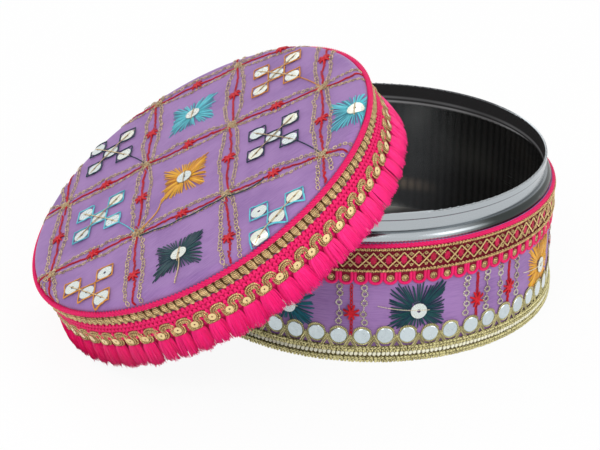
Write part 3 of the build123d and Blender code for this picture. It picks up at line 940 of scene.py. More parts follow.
class Workshop:
    """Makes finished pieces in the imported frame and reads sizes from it."""

    def __init__(self, frame: dict[str, Any]) -> None:
        """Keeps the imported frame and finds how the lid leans.

        Args:
            frame: What loading the frame returned.
        """
        self.frame = frame
        self.box = Placement(np.eye(3), np.zeros(3))
        self.lid = Placement.of_ring(self.vertices("lid_edge_cord"))

    def vertices(self, node: str) -> Array:
        """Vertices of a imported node, in millimetres."""
        mesh = self.frame["nodes"][node].data
        points = np.empty(len(mesh.vertices) * 3, np.float32)
        mesh.vertices.foreach_get("co", points)
        return points.reshape(-1, 3).astype(float) / MM

    def span(self, node: str) -> Span:
        """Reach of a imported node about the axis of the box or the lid."""
        place = self.lid if node.startswith("lid") else self.box
        points = place.inward(self.vertices(node))
        reach = np.hypot(points[:, 0], points[:, 1])
        return Span(reach.min(), reach.max(), points[:, 2].min(), points[:, 2].max())

    def ring(self, node: str) -> tuple[Span, Side]:
        """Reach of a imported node, and the round side at its inner radius."""
        span = self.span(node)
        return span, Side(self.lid if node.startswith("lid") else self.box, span.inner)

    def clear_of_wall(self, shape: Shape, gap: float) -> Shape:
        """Soft trim of the lid, pushed off the box's rim and wall to the nearer side.

        A point below the rim and between the wall's inside and the trim's outside moves along its radius.

        Args:
            shape: The trim, in the part's frame.
            gap: Clearance.

        Returns:
            The moved surface.
        """
        pan, trim, piping = [self.span(node) for node in ("box_pan", "box_loop_edging", "box_top_cord")]
        x, y, height = shape.points.T
        reach = np.hypot(x, y)
        outer = np.where(height > piping.high + gap, pan.outer - NECK_INSET, trim.outer) + gap
        inner = pan.outer - LINER_INSET - gap
        inside = (reach > inner) & (reach < outer) & (height < pan.high + gap)
        target = np.where(reach > (inner + outer) / 2, outer, inner)
        scale = np.where(inside, target / np.maximum(reach, 1), 1.0)
        return shape.at(traced(x * scale, y * scale, height))

    def piece(
        self,
        name: str,
        shape: Shape,
        finish: Finish,
        replaces: Sequence[str] = (),
        slot: str = "",
        crease: float = 50.0,
    ) -> bpy.types.Object:
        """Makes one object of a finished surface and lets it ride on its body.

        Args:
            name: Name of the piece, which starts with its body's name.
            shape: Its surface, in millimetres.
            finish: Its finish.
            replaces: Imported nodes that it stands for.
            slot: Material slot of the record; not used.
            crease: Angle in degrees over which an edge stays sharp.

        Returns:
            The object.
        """
        mesh = bpy.data.meshes.new(name)
        corners = shape.faces[shape.faces >= 0]
        sizes = (shape.faces >= 0).sum(axis=1)
        mesh.vertices.add(len(shape.points))
        mesh.vertices.foreach_set("co", (shape.points * MM).astype(np.float32).ravel())
        mesh.loops.add(len(corners))
        mesh.loops.foreach_set("vertex_index", corners.astype(np.int32))
        mesh.polygons.add(len(sizes))
        mesh.polygons.foreach_set("loop_start", (np.cumsum(sizes) - sizes).astype(np.int32))
        mesh.polygons.foreach_set("use_smooth", np.ones(len(sizes), bool))
        grain = mesh.attributes.new(GRAIN, "FLOAT_VECTOR", "POINT")
        grain.data.foreach_set("vector", shape.grain.astype(np.float32).ravel())
        mesh.update(calc_edges=True)
        mesh.set_sharp_from_angle(angle=math.radians(crease))
        mesh.materials.append(finish.material())
        made = placed(name, mesh)
        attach(made, "lid" if name.startswith("lid") else "box")
        if replaces:
            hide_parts(*replaces)
        LOG.info("%s: %d points, %d faces", name, len(shape.points), len(sizes))
        return made

    def dress(self, node: str, finish: Finish) -> None:
        """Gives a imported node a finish."""
        slots = self.frame["nodes"][node].data.materials
        slots.clear()
        slots.append(finish.material())


def straight_stitches(starts: Array, ends: Array, half_width: Any, rise: float, tone: Any) -> Shape:
    """Satin stitches: flat threads that leave the cloth at one point and dive into it at another.

    Args:
        starts: First ends, as stitch by two.
        ends: Second ends.
        half_width: Half the thread's width, for all or for each stitch.
        rise: How far the thread stands out of the cloth.
        tone: Tone of each stitch.

    Returns:
        The surface, drawn flat.
    """
    share = vec(0.0, 0.08, 0.35, 0.7, 0.94, 1.0)
    out = vec(-0.35, 0.55, 1.0, 0.95, 0.5, -0.35) * rise
    taper = vec(0.5, 0.9, 1.0, 1.0, 0.85, 0.4)
    width = np.broadcast_to(half_width, len(starts))[:, None] * taper
    return tubes(raised(between(starts, ends, share), out), width, width * 0.55, sides=4, tone=tone)


def rings(centres: Array, radius: Any, thread: float, squash: Any = 1.0, turn: Any = 0.0, segments: int = 10,
          sides: int = 4, lift: float = 0.0, flat: float = 1.0, tone: Any = 0.0, tilt: float = 0.0) -> Shape:
    """Closed rings of thread that lie on the cloth.

    A ring's point is its centre plus the radius times the cosine along its turned first axis, plus the
    radius times squash times the sine along its second, and it rises by tilt times the cosine.

    Args:
        centres: Middles, as ring by two or by three.
        radius: Radius to the thread's middle.
        thread: Half the thread's width.
        squash: Second axis over the first.
        turn: Direction of the first axis, in radians.
        segments: Points round a ring.
        sides: Points round the thread.
        lift: Height of the thread's middle over the cloth.
        flat: Height of the thread over its width.
        tone: Tone of each ring.
        tilt: Rise of one end of a ring and fall of the other.

    Returns:
        The surface, drawn flat.
    """
    angle = turns(segments)
    radius, squash, turn = [np.broadcast_to(value, len(centres))[:, None] for value in (radius, squash, turn)]
    first = radius * np.cos(angle)
    second = radius * squash * np.sin(angle)
    x = centres[:, :1] + first * np.cos(turn) - second * np.sin(turn)
    y = centres[:, 1:2] + first * np.sin(turn) + second * np.cos(turn)
    lines = traced(x, y, lift + tilt * np.cos(angle))
    return tubes(lines, thread, thread * flat, sides=sides, closed=True, tone=tone)


def spangles(centres: Array, radius: float, hole: float, lift: float, rng: Random) -> Shape:
    """Flat spangles, each a little tilted: closed rings much wider than they are high."""
    middle = (radius + hole) / 2
    made = []
    for centre in centres:
        tilt = rng.uniform(-0.12, 0.12)
        made.append(rings(centre[None], middle, (radius - hole) / 2, segments=22, sides=6, lift=lift,
                          flat=0.1, turn=rng.uniform(0, TURN), tone=rng.uniform(0, 1), tilt=tilt))
    return Shape.join(made)


def pillows(centres: Array, half_along: float, half_up: float, rise: float, turn: float, sides: int,
            tone: Array, shoulder: float = 0.75) -> Shape:
    """Rounded lumps on the cloth, each a short stack of rings that narrows outward.

    Args:
        centres: Middles, as lump by three.
        half_along: Half the width.
        half_up: Half the height.
        rise: How far a lump stands out.
        turn: Lean of the lump, as along per up.
        sides: Points round a lump.
        tone: Tone of each lump.
        shoulder: How full a lump is near its top.

    Returns:
        The surface, drawn flat.
    """
    level = vec(0.0, 0.35, 0.7, 0.92, 1.0)
    size = vec(0.92, 1.0, 0.5 + shoulder * 0.5, shoulder * 0.72, shoulder * 0.3)
    lines = raised(np.repeat(centres[:, None], len(level), axis=1), centres[:, None, 2] + level * rise)
    made = tubes(lines, size * half_along, size * half_up, normal=UP, sides=sides, tone=tone)
    blocks = made.points.reshape(len(centres), -1, 3)
    blocks[..., 0] += (blocks[..., 1] - centres[:, None, 1]) * turn
    return made.at(blocks)


@dataclass
class Studio:
    """Pale floor, soft light and the camera that looks at the box as a shopper does."""

    camera_place: tuple[float, float, float] = (-317.97, -847.97, 439.43)
    plan_angle: float = -18.186
    down_angle: float = 65.721
    roll: float = 0.28
    lens: float = 106.87
    floor_half: float = 6.0
    ambient: float = 0.775

    def build(self) -> None:
        """Builds the floor, the world, the lamps and the camera."""
        self.floor()
        self.world()
        self.lamp("key", (-0.9, -1.1, 1.5), 1.1, 12.0)
        self.lamp("fill", (1.2, -1.5, 0.7), 1.2, 10.0)
        self.lamp("back", (0.2, 1.5, 1.5), 1.2, 6.5)
        self.camera()

    def floor(self) -> None:
        """A wide plane whose pale colour turns white to the camera, with the object's shadow left on it."""
        half = self.floor_half
        mesh = bpy.data.meshes.new("floor")
        corners = [(-half, -half, 0.0), (half, -half, 0.0), (half, half, 0.0), (-half, half, 0.0)]
        mesh.from_pydata(corners, [], [(0, 1, 2, 3)])
        material = bpy.data.materials.new("pale_floor")
        graph = Graph(material)
        share = graph.seen() * 0.92
        paper = graph.node("BsdfDiffuse", {}, {"Color": Linear.PAPER.value})
        white = graph.node("Emission", {}, {"Color": Linear.WHITE.value, "Strength": 1.0})
        graph.end(graph.node("MixShader", {}, {0: share, 1: paper, 2: white}))
        mesh.materials.append(material)
        placed("floor", mesh)

    def world(self) -> None:
        """Even soft light, white where the camera or a mirror sees it."""
        world = bpy.data.worlds.new("studio")
        bpy.context.scene.world = world
        graph = Graph(world, "World")
        even, white = [
            graph.node("Background", {}, {"Color": Linear.WHITE.value, "Strength": strength})
            for strength in (self.ambient, 1.0)
        ]
        graph.end(graph.node("MixShader", {}, {0: graph.seen(), 1: even, 2: white}))

    def lamp(self, name: str, place: tuple[float, float, float], size: float, power: float) -> None:
        """A square soft lamp in metres that faces the box."""
        data = bpy.data.lights.new(name, "AREA")
        data.shape = "SQUARE"
        data.size = size
        data.energy = power
        lamp = placed(name, data)
        lamp.location = place
        lamp.rotation_euler = lamp.location.to_track_quat("Z", "Y").to_euler()

    def camera(self) -> None:
        """The camera, from its place, its plan and downward angles and its roll."""
        data = bpy.data.cameras.new("camera")
        data.lens = self.lens
        data.sensor_width = 36.0
        data.clip_start = 0.01
        camera = placed("camera", data)
        turned = (
            Matrix.Rotation(math.radians(self.plan_angle), 4, "Z")
            @ Matrix.Rotation(math.radians(self.down_angle), 4, "X")
            @ Matrix.Rotation(math.radians(self.roll), 4, "Z")
        )
        camera.matrix_world = Matrix.Translation([value * MM for value in self.camera_place]) @ turned
        bpy.context.scene.camera = camera


@dataclass
class BoxBody:
    """Steel pan and the cloth wrapped round its wall."""

    shop: Workshop
    ripple: float = 0.12

    def build(self) -> None:
        """Dresses the pan and makes the cloth, a thin sleeve whose front has slow upright ripples."""
        pan = self.shop.span("box_pan")
        self.shop.dress("box_pan", Steel(wall=pan.outer - SHOULDER_INSET, step=pan.high - NECK_HEIGHT))
        cover, side = self.shop.ring("box_cover")

        def relief(x: Array, y: Array) -> Array:
            """Thickness plus a few waves round the box that change slowly upward."""
            angle = x / side.radius
            waves = np.sin(23 * angle + y / 17) + np.sin(41 * angle - y / 23 + 1) * 0.6
            return cover.thick + self.ripple * waves * np.sin(np.pi * (y - cover.low) / cover.tall)

        shape = band(side, cover, relief, 480, 14).on(side)
        cloth = self.shop.piece("box_cloth", shape, Cloth(), ["box_cover"], "box_cloth")


def braided_ring(side: Side, middle: float, radius: float, stitch: float, steps: int, sides: int) -> Shape:
    """Round piping with slanted stitches that meet in a row of arrowheads on its front.

    Its radius is swollen by the sine of the length plus a slant times the angle away from the front.

    Args:
        side: Carrier at the radius of the piping's middle.
        middle: Height of its middle.
        radius: Radius of the piping.
        stitch: Length of one stitch.
        steps: Points round the body.
        sides: Points round the piping.

    Returns:
        The surface, drawn flat.
    """
    count = round(side.length / stitch)
    along = np.arange(steps) / steps * side.length
    x, a = np.meshgrid(along, turns(sides), indexing="ij")
    slant = np.abs(np.sin(a / 2 - np.pi / 4)) * 1.6
    wave = np.sin(TURN * (x / side.length * count + slant))
    swell = 1 + 0.24 * wave
    points = traced(x, middle - radius * swell * np.cos(a), radius * swell * np.sin(a))
    grain = traced(x, a / TURN, 0.45 - 0.45 * wave)
    return netted(points[:, ::-1], grain[:, ::-1])


@dataclass
class UpperTrim:
    """Pink piping, gold cords, lattice band and looped edging round the top of the box."""

    shop: Workshop
    oval_count: int = 83
    oval_turn: float = -0.1
    loop_count: int = 85
    loop_turn: float = 2.3
    wire_radius: float = 0.36
    cord_knot: float = 2.0
    loop_cord: float = 0.85
    rng: Random = seeded(11)

    def build(self) -> None:
        """Builds the trim from the top down."""
        self.piping()
        self.ribbon()
        self.cords()
        self.lattice()
        self.loops()

    def piping(self) -> None:
        """Pink piping along the top edge."""
        cord = self.shop.span("box_top_cord")
        radius = cord.tall / 2
        side = Side(self.shop.box, cord.inner + radius * 0.5)
        shape = braided_ring(side, cord.middle, radius * 1.15, 2.0, 2600, 12).on(side)
        self.shop.piece("box_pink_piping", shape, PINK_YARN, ["box_top_cord"], "pink_cord")

    def ribbon(self) -> None:
        """Dark-red ribbon with a low ribbed weave."""
        ribbon, side = self.shop.ring("box_ribbon")

        def ribs(x: Array, y: Array) -> Array:
            """Thickness with ribs along the ribbon."""
            return ribbon.thick * (0.9 + 0.25 * np.sin(TURN * y / 1.1) * np.sin(TURN * x / 1.6))

        shape = band(side, ribbon, ribs, 1600, 26).on(side)
        finish = Yarn(Tint.DARK_RED, Tint.DARK_GOLD, gloss=0.6)
        self.shop.piece("box_red_ribbon", shape, finish, ["box_ribbon"], "red_ribbon")

    def cords(self) -> None:
        """Two rows of gold knots along the edges of the lattice."""
        cords = self.shop.span("box_gold_cords")
        radius = cords.thick / 2
        side = Side(self.shop.box, cords.inner + radius)
        count = round(side.length / self.cord_knot)
        made = []
        for height in (cords.high - radius, cords.low + radius):
            for way in (-1, 1):
                x = (np.arange(count) + 0.25 * way + self.rng.uniform(-0.1, 0.1, count)) * side.length / count
                along = x[:, None] + vec(-0.4, -0.25, 0, 0.25, 0.4) * self.cord_knot
                up = height + vec(-0.8, -0.5, 0, 0.5, 0.8) * radius * way
                out = vec(-0.2, 0.2, 0.45, 0.2, -0.2) * radius + 0.08 * way
                width = vec(0.4, 0.66, 0.74, 0.66, 0.4) * radius
                made.append(tubes(traced(along, up, out), width, tone=self.rng.uniform(0, 0.8, count)))
        shape = Shape.join(made).on(side)
        self.shop.piece("box_twisted_gold_cords", shape, GOLD_THREAD, ["box_gold_cords"], "gold_cord")

    def lattice(self) -> None:
        """Gold wires that cross between the cords, finer ones between them, and a pink oval in each diamond."""
        lattice, side = self.shop.ring("box_lattice_band")
        pitch = side.length / self.oval_count
        start = side.along(self.oval_turn)
        half = lattice.tall / 2 - self.wire_radius
        share = np.linspace(0, 1, 7)
        made = []
        for radius, reach, shift, lift in ((self.wire_radius, 1.0, 0.0, 0.75), (0.2, 0.92, 0.5, 0.15)):
            for flip in (1, -1):
                along = start + (np.arange(self.oval_count)[:, None] + share + shift) * pitch
                lines = traced(along, lattice.middle + half * reach * flip * (1 - 2 * share),
                               lift + 0.3 * flip * np.sin(np.pi * share))
                lines[1::2, :, 1] = 2 * lattice.middle - lines[1::2, :, 1]
                lines[..., 1] += self.rng.normal(0, 0.12, (self.oval_count, 1))
                made.append(tubes(lines, radius, tone=self.rng.uniform(0, 0.7, self.oval_count)))
        number = np.arange(self.oval_count)
        x = start + (number + 0.5) * pitch
        for way in (-1, 1):
            spots = traced(x, lattice.middle + half * 0.72 * way, 0.0)
            made.append(rings(spots, 0.62, 0.26, segments=8, lift=0.7, tone=self.rng.uniform(0, 0.6, len(x))))
        shape = Shape.join(made).on(side)
        self.shop.piece("box_lattice_wires", shape, MetalThread(Tint.PALE_GOLD, Tint.DARK_GOLD, contrast=0.3),
                        ["box_lattice_band"], "gold_lattice")
        up = lattice.middle + self.rng.uniform(-0.2, 0.2, self.oval_count)
        centres = traced(start + number * pitch, up, 0.0)
        tone = self.rng.uniform(0.2, 1.0, self.oval_count)
        ovals = pillows(centres, 1.7, 2.5, 0.9, 0.0, 8, tone, 0.8).on(side)
        self.shop.piece("box_lattice_ovals", ovals, Yarn(Tint.DEEP_PINK, Tint.CRIMSON, gloss=0.3), [],
                        "gold_lattice", 20.0)

    def loops(self) -> None:
        """Pink cord in hanging loops on dark-red patches, each with a stitched gold square."""
        edging, side = self.shop.ring("box_loop_edging")
        pitch = side.length / self.loop_count
        centres = side.along(self.loop_turn) + np.arange(self.loop_count) * pitch
        cord = self.loop_cord
        half = pitch / 2 - cord * 0.95
        bend = np.linspace(np.pi, TURN, 9)
        low = edging.low + cord + half * 0.8
        rise = np.linspace(edging.high, low, 4)[:-1]
        x = np.concatenate((np.full(3, -half), half * np.cos(bend), np.full(3, half)))
        y = np.concatenate((rise, low + half * 0.8 * np.sin(bend), rise[::-1]))
        lines = traced(centres[:, None] + x, y + self.rng.normal(0, 0.15, (self.loop_count, 1)), cord * 0.85)
        tone = self.rng.uniform(0, 0.6, self.loop_count)
        shape = tubes(lines, cord, cord * 0.9, sides=8, tone=tone).on(side)
        self.shop.piece("box_pink_loops", shape, PINK_YARN, ["box_loop_edging"], "pink_loops")
        middle = traced(centres, edging.middle, 0.0)
        patches = pillows(middle + (0, 0.2, 0), pitch * 0.5, 3.6, 0.5, 0.0, 10, tone, 1.2).on(side)
        self.shop.piece("box_loop_patches", patches, Yarn(Tint.DARK_RED, Tint.CRIMSON, gloss=0.6), [], "pink_loops")
        squares = pillows(middle, 1.3, 1.35, 1.3, 0.0, 4, tone, 0.95)
        frames = rings(middle, 1.65, 0.3, segments=8, lift=0.8, tone=tone)
        shape = Shape.join((squares, frames)).on(side)
        self.shop.piece("box_gold_squares", shape, PALE_THREAD, [], "gold_cord", 30.0)


@dataclass
class MirrorRow:
    """Round mirrors sewn on with gold cord, above the braid at the foot of the box."""

    shop: Workshop
    count: int = 54
    turn: float = 2.0
    rng: Random = seeded(23)

    def build(self) -> None:
        """Builds the mirrors and the cords that hold them."""
        mirrors, side = self.shop.ring("box_mirrors")
        radius = mirrors.tall / 2
        pitch = side.length / self.count
        x = side.along(self.turn) + np.arange(self.count) * pitch
        x = x + self.rng.uniform(-0.35, 0.35, self.count)
        centres = traced(x, mirrors.middle + self.rng.uniform(-0.35, 0.35, self.count), 0.0)
        self.mirrors(side, centres, radius)
        self.cords(side, centres, radius, pitch)

    def mirrors(self, side: Side, centres: Array, radius: float) -> None:
        """Flat discs with a small bevel, each tilted its own way."""
        lines = traced(centres[:, :1], centres[:, 1:2], vec(0.1, 0.75, 0.95))
        tone = self.rng.uniform(0, 1, self.count)
        made = tubes(lines, vec(1.0, 1.0, 0.93) * radius, normal=UP, sides=22, tone=tone)
        blocks = made.points.reshape(self.count, -1, 3)
        across, up = (blocks[..., axis] - centres[:, None, axis] for axis in range(2))
        lean = self.rng.uniform(-0.05, 0.05, (self.count, 2))
        reach = side.radius + blocks[..., 2] + across * lean[:, :1] + up * lean[:, 1:]
        angle = centres[:, :1] / side.radius
        x = np.cos(angle) * reach - np.sin(angle) * across
        solid = made.at(traced(x, np.sin(angle) * reach + np.cos(angle) * across, blocks[..., 1]))
        self.shop.piece("box_round_mirrors", solid, MirrorGlass(), ["box_mirrors"], "mirror_glass", 25.0)

    def cords(self, side: Side, centres: Array, radius: float, pitch: float) -> None:
        """A gold cord round each mirror and a slanted tie on each side of its foot."""
        tone = self.rng.uniform(0, 1, self.count)
        made = [rings(centres, radius + 0.4, 0.42, segments=28, sides=6, lift=0.55, flat=1.3, tone=tone)]
        arch = np.radians(np.linspace(35, 145, 9)) + self.rng.normal(0, 0.06, (self.count, 1))
        x, y = centres[:, :1], centres[:, 1:2]
        lines = traced(x + (radius + 1.0) * np.cos(arch), y + (radius + 0.9) * np.sin(arch), 0.75)
        made.append(tubes(lines, 0.4, sides=5, tone=tone))
        for way in (-1, 1):
            for lean, shift in ((0.0, 0.0), (0.05, 0.95)):
                along = (vec(0.5, 0.44, 0.33, 0.24, 0.2) + lean) * pitch * way
                up = vec(0.4, -1.4, -3.6, -5.6, -6.9) - shift
                lines = traced(x + along, y + up, vec(0.5, 0.9, 1.0, 1.0, 0.7))
                made.append(tubes(lines, 0.4, sides=5, tone=self.rng.uniform(0, 1, self.count)))
        shape = Shape.join(made).on(side)
        finish = MetalThread(Tint.OLIVE_GOLD, Tint.DARK_OLIVE)
        self.shop.piece("box_mirror_cords", shape, finish, ["box_mirror_rims"], "mirror_cord")


@dataclass
class BaseBraid:
    """Gimp braid round the foot of the box: knotted olive-gold rows about a cream row."""

    shop: Workshop
    knot: float = 1.9
    cream_knot: float = 2.3
    rng: Random = seeded(31)

    def build(self) -> None:
        """Builds the braid's ground, its knotted rows and its cream row."""
        braid, side = self.shop.ring("box_base_braid")

        def front(x: Array, y: Array) -> Array:
            """Low round front."""
            return braid.thick * (0.3 + 0.3 * np.sin(np.pi * (y - braid.low) / braid.tall))

        ground = band(side, braid, front, 360, 9).on(side)
        finish = Yarn(Tint.DARK_OLIVE, Tint.DARK_GOLD, gloss=0.6)
        self.shop.piece("box_braid_ground", ground, finish, [], "olive_braid")
        rows = [self.row(side, braid, height, slant) for height, slant in
                ((0.07, 1), (0.25, -1), (0.76, 1), (0.93, -1))]
        finish = MetalThread(Tint.OLIVE_GOLD, Tint.DARK_OLIVE, gloss=0.4)
        self.shop.piece("box_gimp_braid", Shape.join(rows).on(side), finish, ["box_base_braid"], "olive_braid")
        self.cream(side, braid.thick)

    def row(self, side: Side, braid: Span, share: float, slant: int) -> Shape:
        """A row of short slanted knots at a share of the braid's height."""
        count = round(side.length / self.knot)
        height = braid.low + braid.tall * share
        x = (np.arange(count) + self.rng.uniform(-0.12, 0.12, count)) * side.length / count
        along = x[:, None] + vec(-0.4, -0.22, 0.0, 0.22, 0.4) * self.knot
        up = height + vec(-0.6, -0.35, 0, 0.35, 0.6) * slant
        up = up + self.rng.uniform(-0.12, 0.12, (count, 1))
        out = (0.7 + 0.4 * np.sin(np.pi * share)) + vec(0.0, 0.55, 0.75, 0.55, 0.0)
        width = vec(0.35, 0.72, 0.85, 0.72, 0.35)
        return tubes(traced(along, up, out), width, width * 0.8, tone=self.rng.uniform(0, 0.8, count))

    def cream(self, side: Side, thick: float) -> None:
        """A row of round pearly cream knots along the middle."""
        row = self.shop.span("box_cream_row")
        count = round(side.length / self.cream_knot)
        along = np.arange(count) * side.length / count + self.rng.uniform(-0.12, 0.12, count)
        centres = traced(along, row.middle + self.rng.uniform(-0.1, 0.1, count), thick * 0.5)
        tone = self.rng.uniform(0, 0.4, count)
        beads = pillows(centres, 1.08, 1.25, 1.3, 0.15, 8, tone, 0.85)
        self.shop.piece("box_cream_beads", beads.on(side), Yarn(Tint.CREAM, Tint.OLIVE_GOLD, gloss=0.22),
                        ["box_cream_row"], "cream_cord", 60.0)


def star_corners(width: float, height: float, waist: float) -> Array:
    """Four corners and four drawn-in side middles of a starburst, in order."""
    across = vec(1, 1, 0, -1, -1, -1, 0, 1) * width / 2
    up = vec(0, 1, 1, 1, 0, -1, -1, -1) * height / 2
    reach = np.where(np.arange(8) % 2, 1.0, waist)
    return np.stack((across * reach, up * reach), axis=1)


def sunburst(
    corners: Array, stitches: int, inner: tuple[float, float], half_width: float, rng: Random
) -> Shape:
    """Straight stitches that spread from a middle to a cornered outline.

    Their outer ends are spaced evenly along the outline, and their inner ends lie at a share of the way
    that takes turns between two values.

    Args:
        corners: Outline, as corner by two.
        stitches: Number of stitches.
        inner: The two shares at which stitches begin.
        half_width: Half the thread's width.
        rng: Source of the small uneven steps.

    Returns:
        The surface, drawn flat about the origin.
    """
    closed = np.concatenate((corners, corners[:1]))
    share = (np.arange(stitches) + rng.uniform(-0.3, 0.3, stitches)) / stitches * len(corners)
    share = np.mod(share, len(corners))
    ends = outline(closed, share)
    ends *= rng.uniform(0.9, 1.06, (stitches, 1))
    start = np.where(np.arange(stitches) % 2, inner[0], inner[1]) * rng.uniform(0.85, 1.15, stitches)
    starts = ends * start[:, None]
    drift = rng.normal(0, 0.35, (stitches, 2))
    return straight_stitches(starts, ends + drift, half_width, 0.55, rng.uniform(0, 1, stitches))


def moved(shape: Shape, x: float, y: float, degrees: float = 0.0) -> Shape:
    """A flat drawing turned and then moved."""
    turn = math.radians(degrees)
    along, up, out = shape.points.T
    x = x + along * math.cos(turn) - up * math.sin(turn)
    return shape.at(traced(x, y + along * math.sin(turn) + up * math.cos(turn), out))


@dataclass
class Seam:
    """Straight run of stitches from one place to another."""

    start: Array
    end: Array
    stitch: float

    def __post_init__(self) -> None:
        """Finds the run's length, directions and the share of the way at which each stitch lies."""
        self.length = float(np.hypot(*(self.end - self.start)))
        self.direction = (self.end - self.start) / self.length
        self.normal = vec(-self.direction[1], self.direction[0])
        self.heading = math.atan2(self.direction[1], self.direction[0])
        self.count = max(round(self.length / self.stitch), 1)
        self.share = (np.arange(self.count) + 0.5) / self.count

    def places(self, aside: Array) -> Array:
        """Places of the stitches, each moved aside by its own length."""
        return between(self.start, self.end, self.share) + aside[:, None] * self.normal


def star_knot(radius: float, half_width: float, rng: Random) -> Shape:
    """Eight-pointed knot: pairs of short thick stitches out of one middle."""
    angle = turns(8, 0.5) + rng.uniform(-0.08, 0.08, 8)
    ends = radius * rng.uniform(0.9, 1.1, (8, 1)) * circle(angle)
    petals = straight_stitches(ends * -0.1, ends, half_width, 0.9, rng.uniform(0, 0.6, 8))
    heart = pillows(np.zeros((1, 3)), radius * 0.45, radius * 0.45, 0.9, 0.0, 8, vec(0.3))
    return Shape.join((petals, heart))


def chain_stitch(start: Array, end: Array, link: float, half_width: float, rng: Random) -> Shape:
    """A line of chain stitch: long thin links, each starting inside the one before."""
    seam = Seam(start, end, link)
    place = start + (np.arange(seam.count)[:, None] + 0.5) * seam.length / seam.count * seam.direction
    place = place + rng.normal(0, 0.12, place.shape)
    turn = seam.heading + rng.normal(0, 0.08, seam.count)
    return rings(place, link * 0.62, half_width, squash=0.42, turn=turn, segments=8, lift=half_width * 0.9,
                 tone=rng.uniform(0, 0.7, seam.count), tilt=0.12)


@dataclass
class BoxEmbroidery:
    """Chains, red lines and starbursts between the mirrors and the looped edging."""

    shop: Workshop
    panels: int = 9
    panel_start: float = -76.0
    panel_spacing: float = 38.55
    chain_offset: float = 6.4
    ring_heights: tuple[float, ...] = (22.7, 27.3, 33.0, 38.8, 42.3)
    knot_height: float = 27.5
    burst_height: float = 31.0
    spangle_height: float = 28.2
    burst_width: float = 29.5
    burst_rise: float = 25.0
    rng: Random = seeded(41)

    def build(self) -> None:
        """Builds the stitching panel by panel."""
        stitching, self.side = self.shop.ring("box_red_stitching")
        self.bottom = stitching.low - 6.0
        self.top = stitching.high
        self.red()
        self.chains()
        self.bursts()

    def places(self, count: int, shift: float) -> list[float]:
        """Places along the cloth at so many panels, moved on by a share of a panel."""
        return [self.side.along(self.panel_start - self.panel_spacing * (i + shift)) for i in range(count)]

    def red(self) -> None:
        """Red lines with their knots."""
        made = []
        for x in self.places(self.panels + 1, 0.0):
            shift = self.rng.uniform(-1.2, 1.2)
            start = vec(x, self.bottom)
            end = vec(x + self.rng.uniform(-0.4, 0.4), self.top)
            made.append(chain_stitch(start, end, 2.2, 0.34, self.rng))
            made.append(moved(star_knot(4.4, 0.75, self.rng), x, self.knot_height + shift))
        shape = Shape.join(made).on(self.side)
        finish = Yarn(Tint.RED, Tint.CRIMSON)
        self.shop.piece("box_red_stitches", shape, finish, ["box_red_stitching"], "box_red_thread")

    def chains(self) -> None:
        """Upright rows of metal-thread rings with a tie between each two."""
        centres, ties = [], []
        for x in self.places(self.panels + 1, 0.0):
            for way in (-1, 1):
                column = x + way * self.chain_offset
                heights = np.array(self.ring_heights) + self.rng.uniform(-0.6, 0.6, len(self.ring_heights))
                wander = self.rng.uniform(-0.5, 0.5, len(heights))
                centres += [(column + w, h) for w, h in zip(wander, heights)]
                for i in range(len(heights) - 1):
                    ties.append(((column + wander[i], heights[i] + 1.7),
                                 (column + wander[i + 1], heights[i + 1] - 1.7)))
        centres = np.array(centres)
        tone = self.rng.uniform(0, 1, len(centres))
        loops = rings(centres, 1.45, 0.46, segments=14, sides=5, lift=0.4, tone=tone, tilt=0.15)
        ties = np.array(ties)
        links = straight_stitches(ties[:, 0], ties[:, 1], 0.36, 0.6, self.rng.uniform(0, 1, len(ties)))
        shape = Shape.join((loops, links)).on(self.side)
        self.shop.piece("box_thread_rings", shape, MetalThread(Tint.SILVER_THREAD, Tint.RING_SHADE),
                        ["box_ring_chains"], "box_chain_thread")

    def bursts(self) -> None:
        """Starbursts in three colours, with a spangle and its thread on each."""
        drop = self.burst_height - self.spangle_height
        corners = star_corners(self.burst_width, self.burst_rise, 0.97) + (0.0, drop)
        places = self.places(self.panels, 0.5)
        colours = (("teal", Tint.TEAL, Tint.NAVY), ("blue", Tint.BLUE_TEAL, Tint.TEAL),
                   ("yellow", Tint.YELLOW, Tint.ORANGE))
        for index, (word, tint, dark) in enumerate(colours):
            made = [
                moved(sunburst(corners, 68, (0.2, 0.3), 0.46, self.rng), x, self.spangle_height)
                for x in places[index::3]
            ]
            shape = Shape.join(made).on(self.side)
            finish = Yarn(tint, dark, gloss=0.35, sheen=0.0)
            self.shop.piece(f"box_{word}_sunbursts", shape, finish, [f"box_{word}_bursts"], f"box_{word}_thread")
        centres = np.array([(x + 0.5, self.spangle_height) for x in places])
        spangle = spangles(centres, 4.5, 0.7, 1.0, self.rng).on(self.side)
        self.shop.piece("box_spangles", spangle, SPANGLE_SHINE, ["box_sequins"], "box_sequin")
        share = np.linspace(0, 1, 9)
        flat = between(centres + (5.6, 0.2), centres - (21.0, -3.6), share)
        lines = traced(flat[..., 0], flat[..., 1] - 0.8 * np.sin(np.pi * share), 1.35 - share * 0.9)
        shape = tubes(lines, 0.22, sides=5, tone=0.1).on(self.side)
        finish = MetalThread(Tint.SILVER_THREAD, Tint.RING_THREAD)
        self.shop.piece("box_spangle_threads", shape, finish, [], "box_chain_thread")


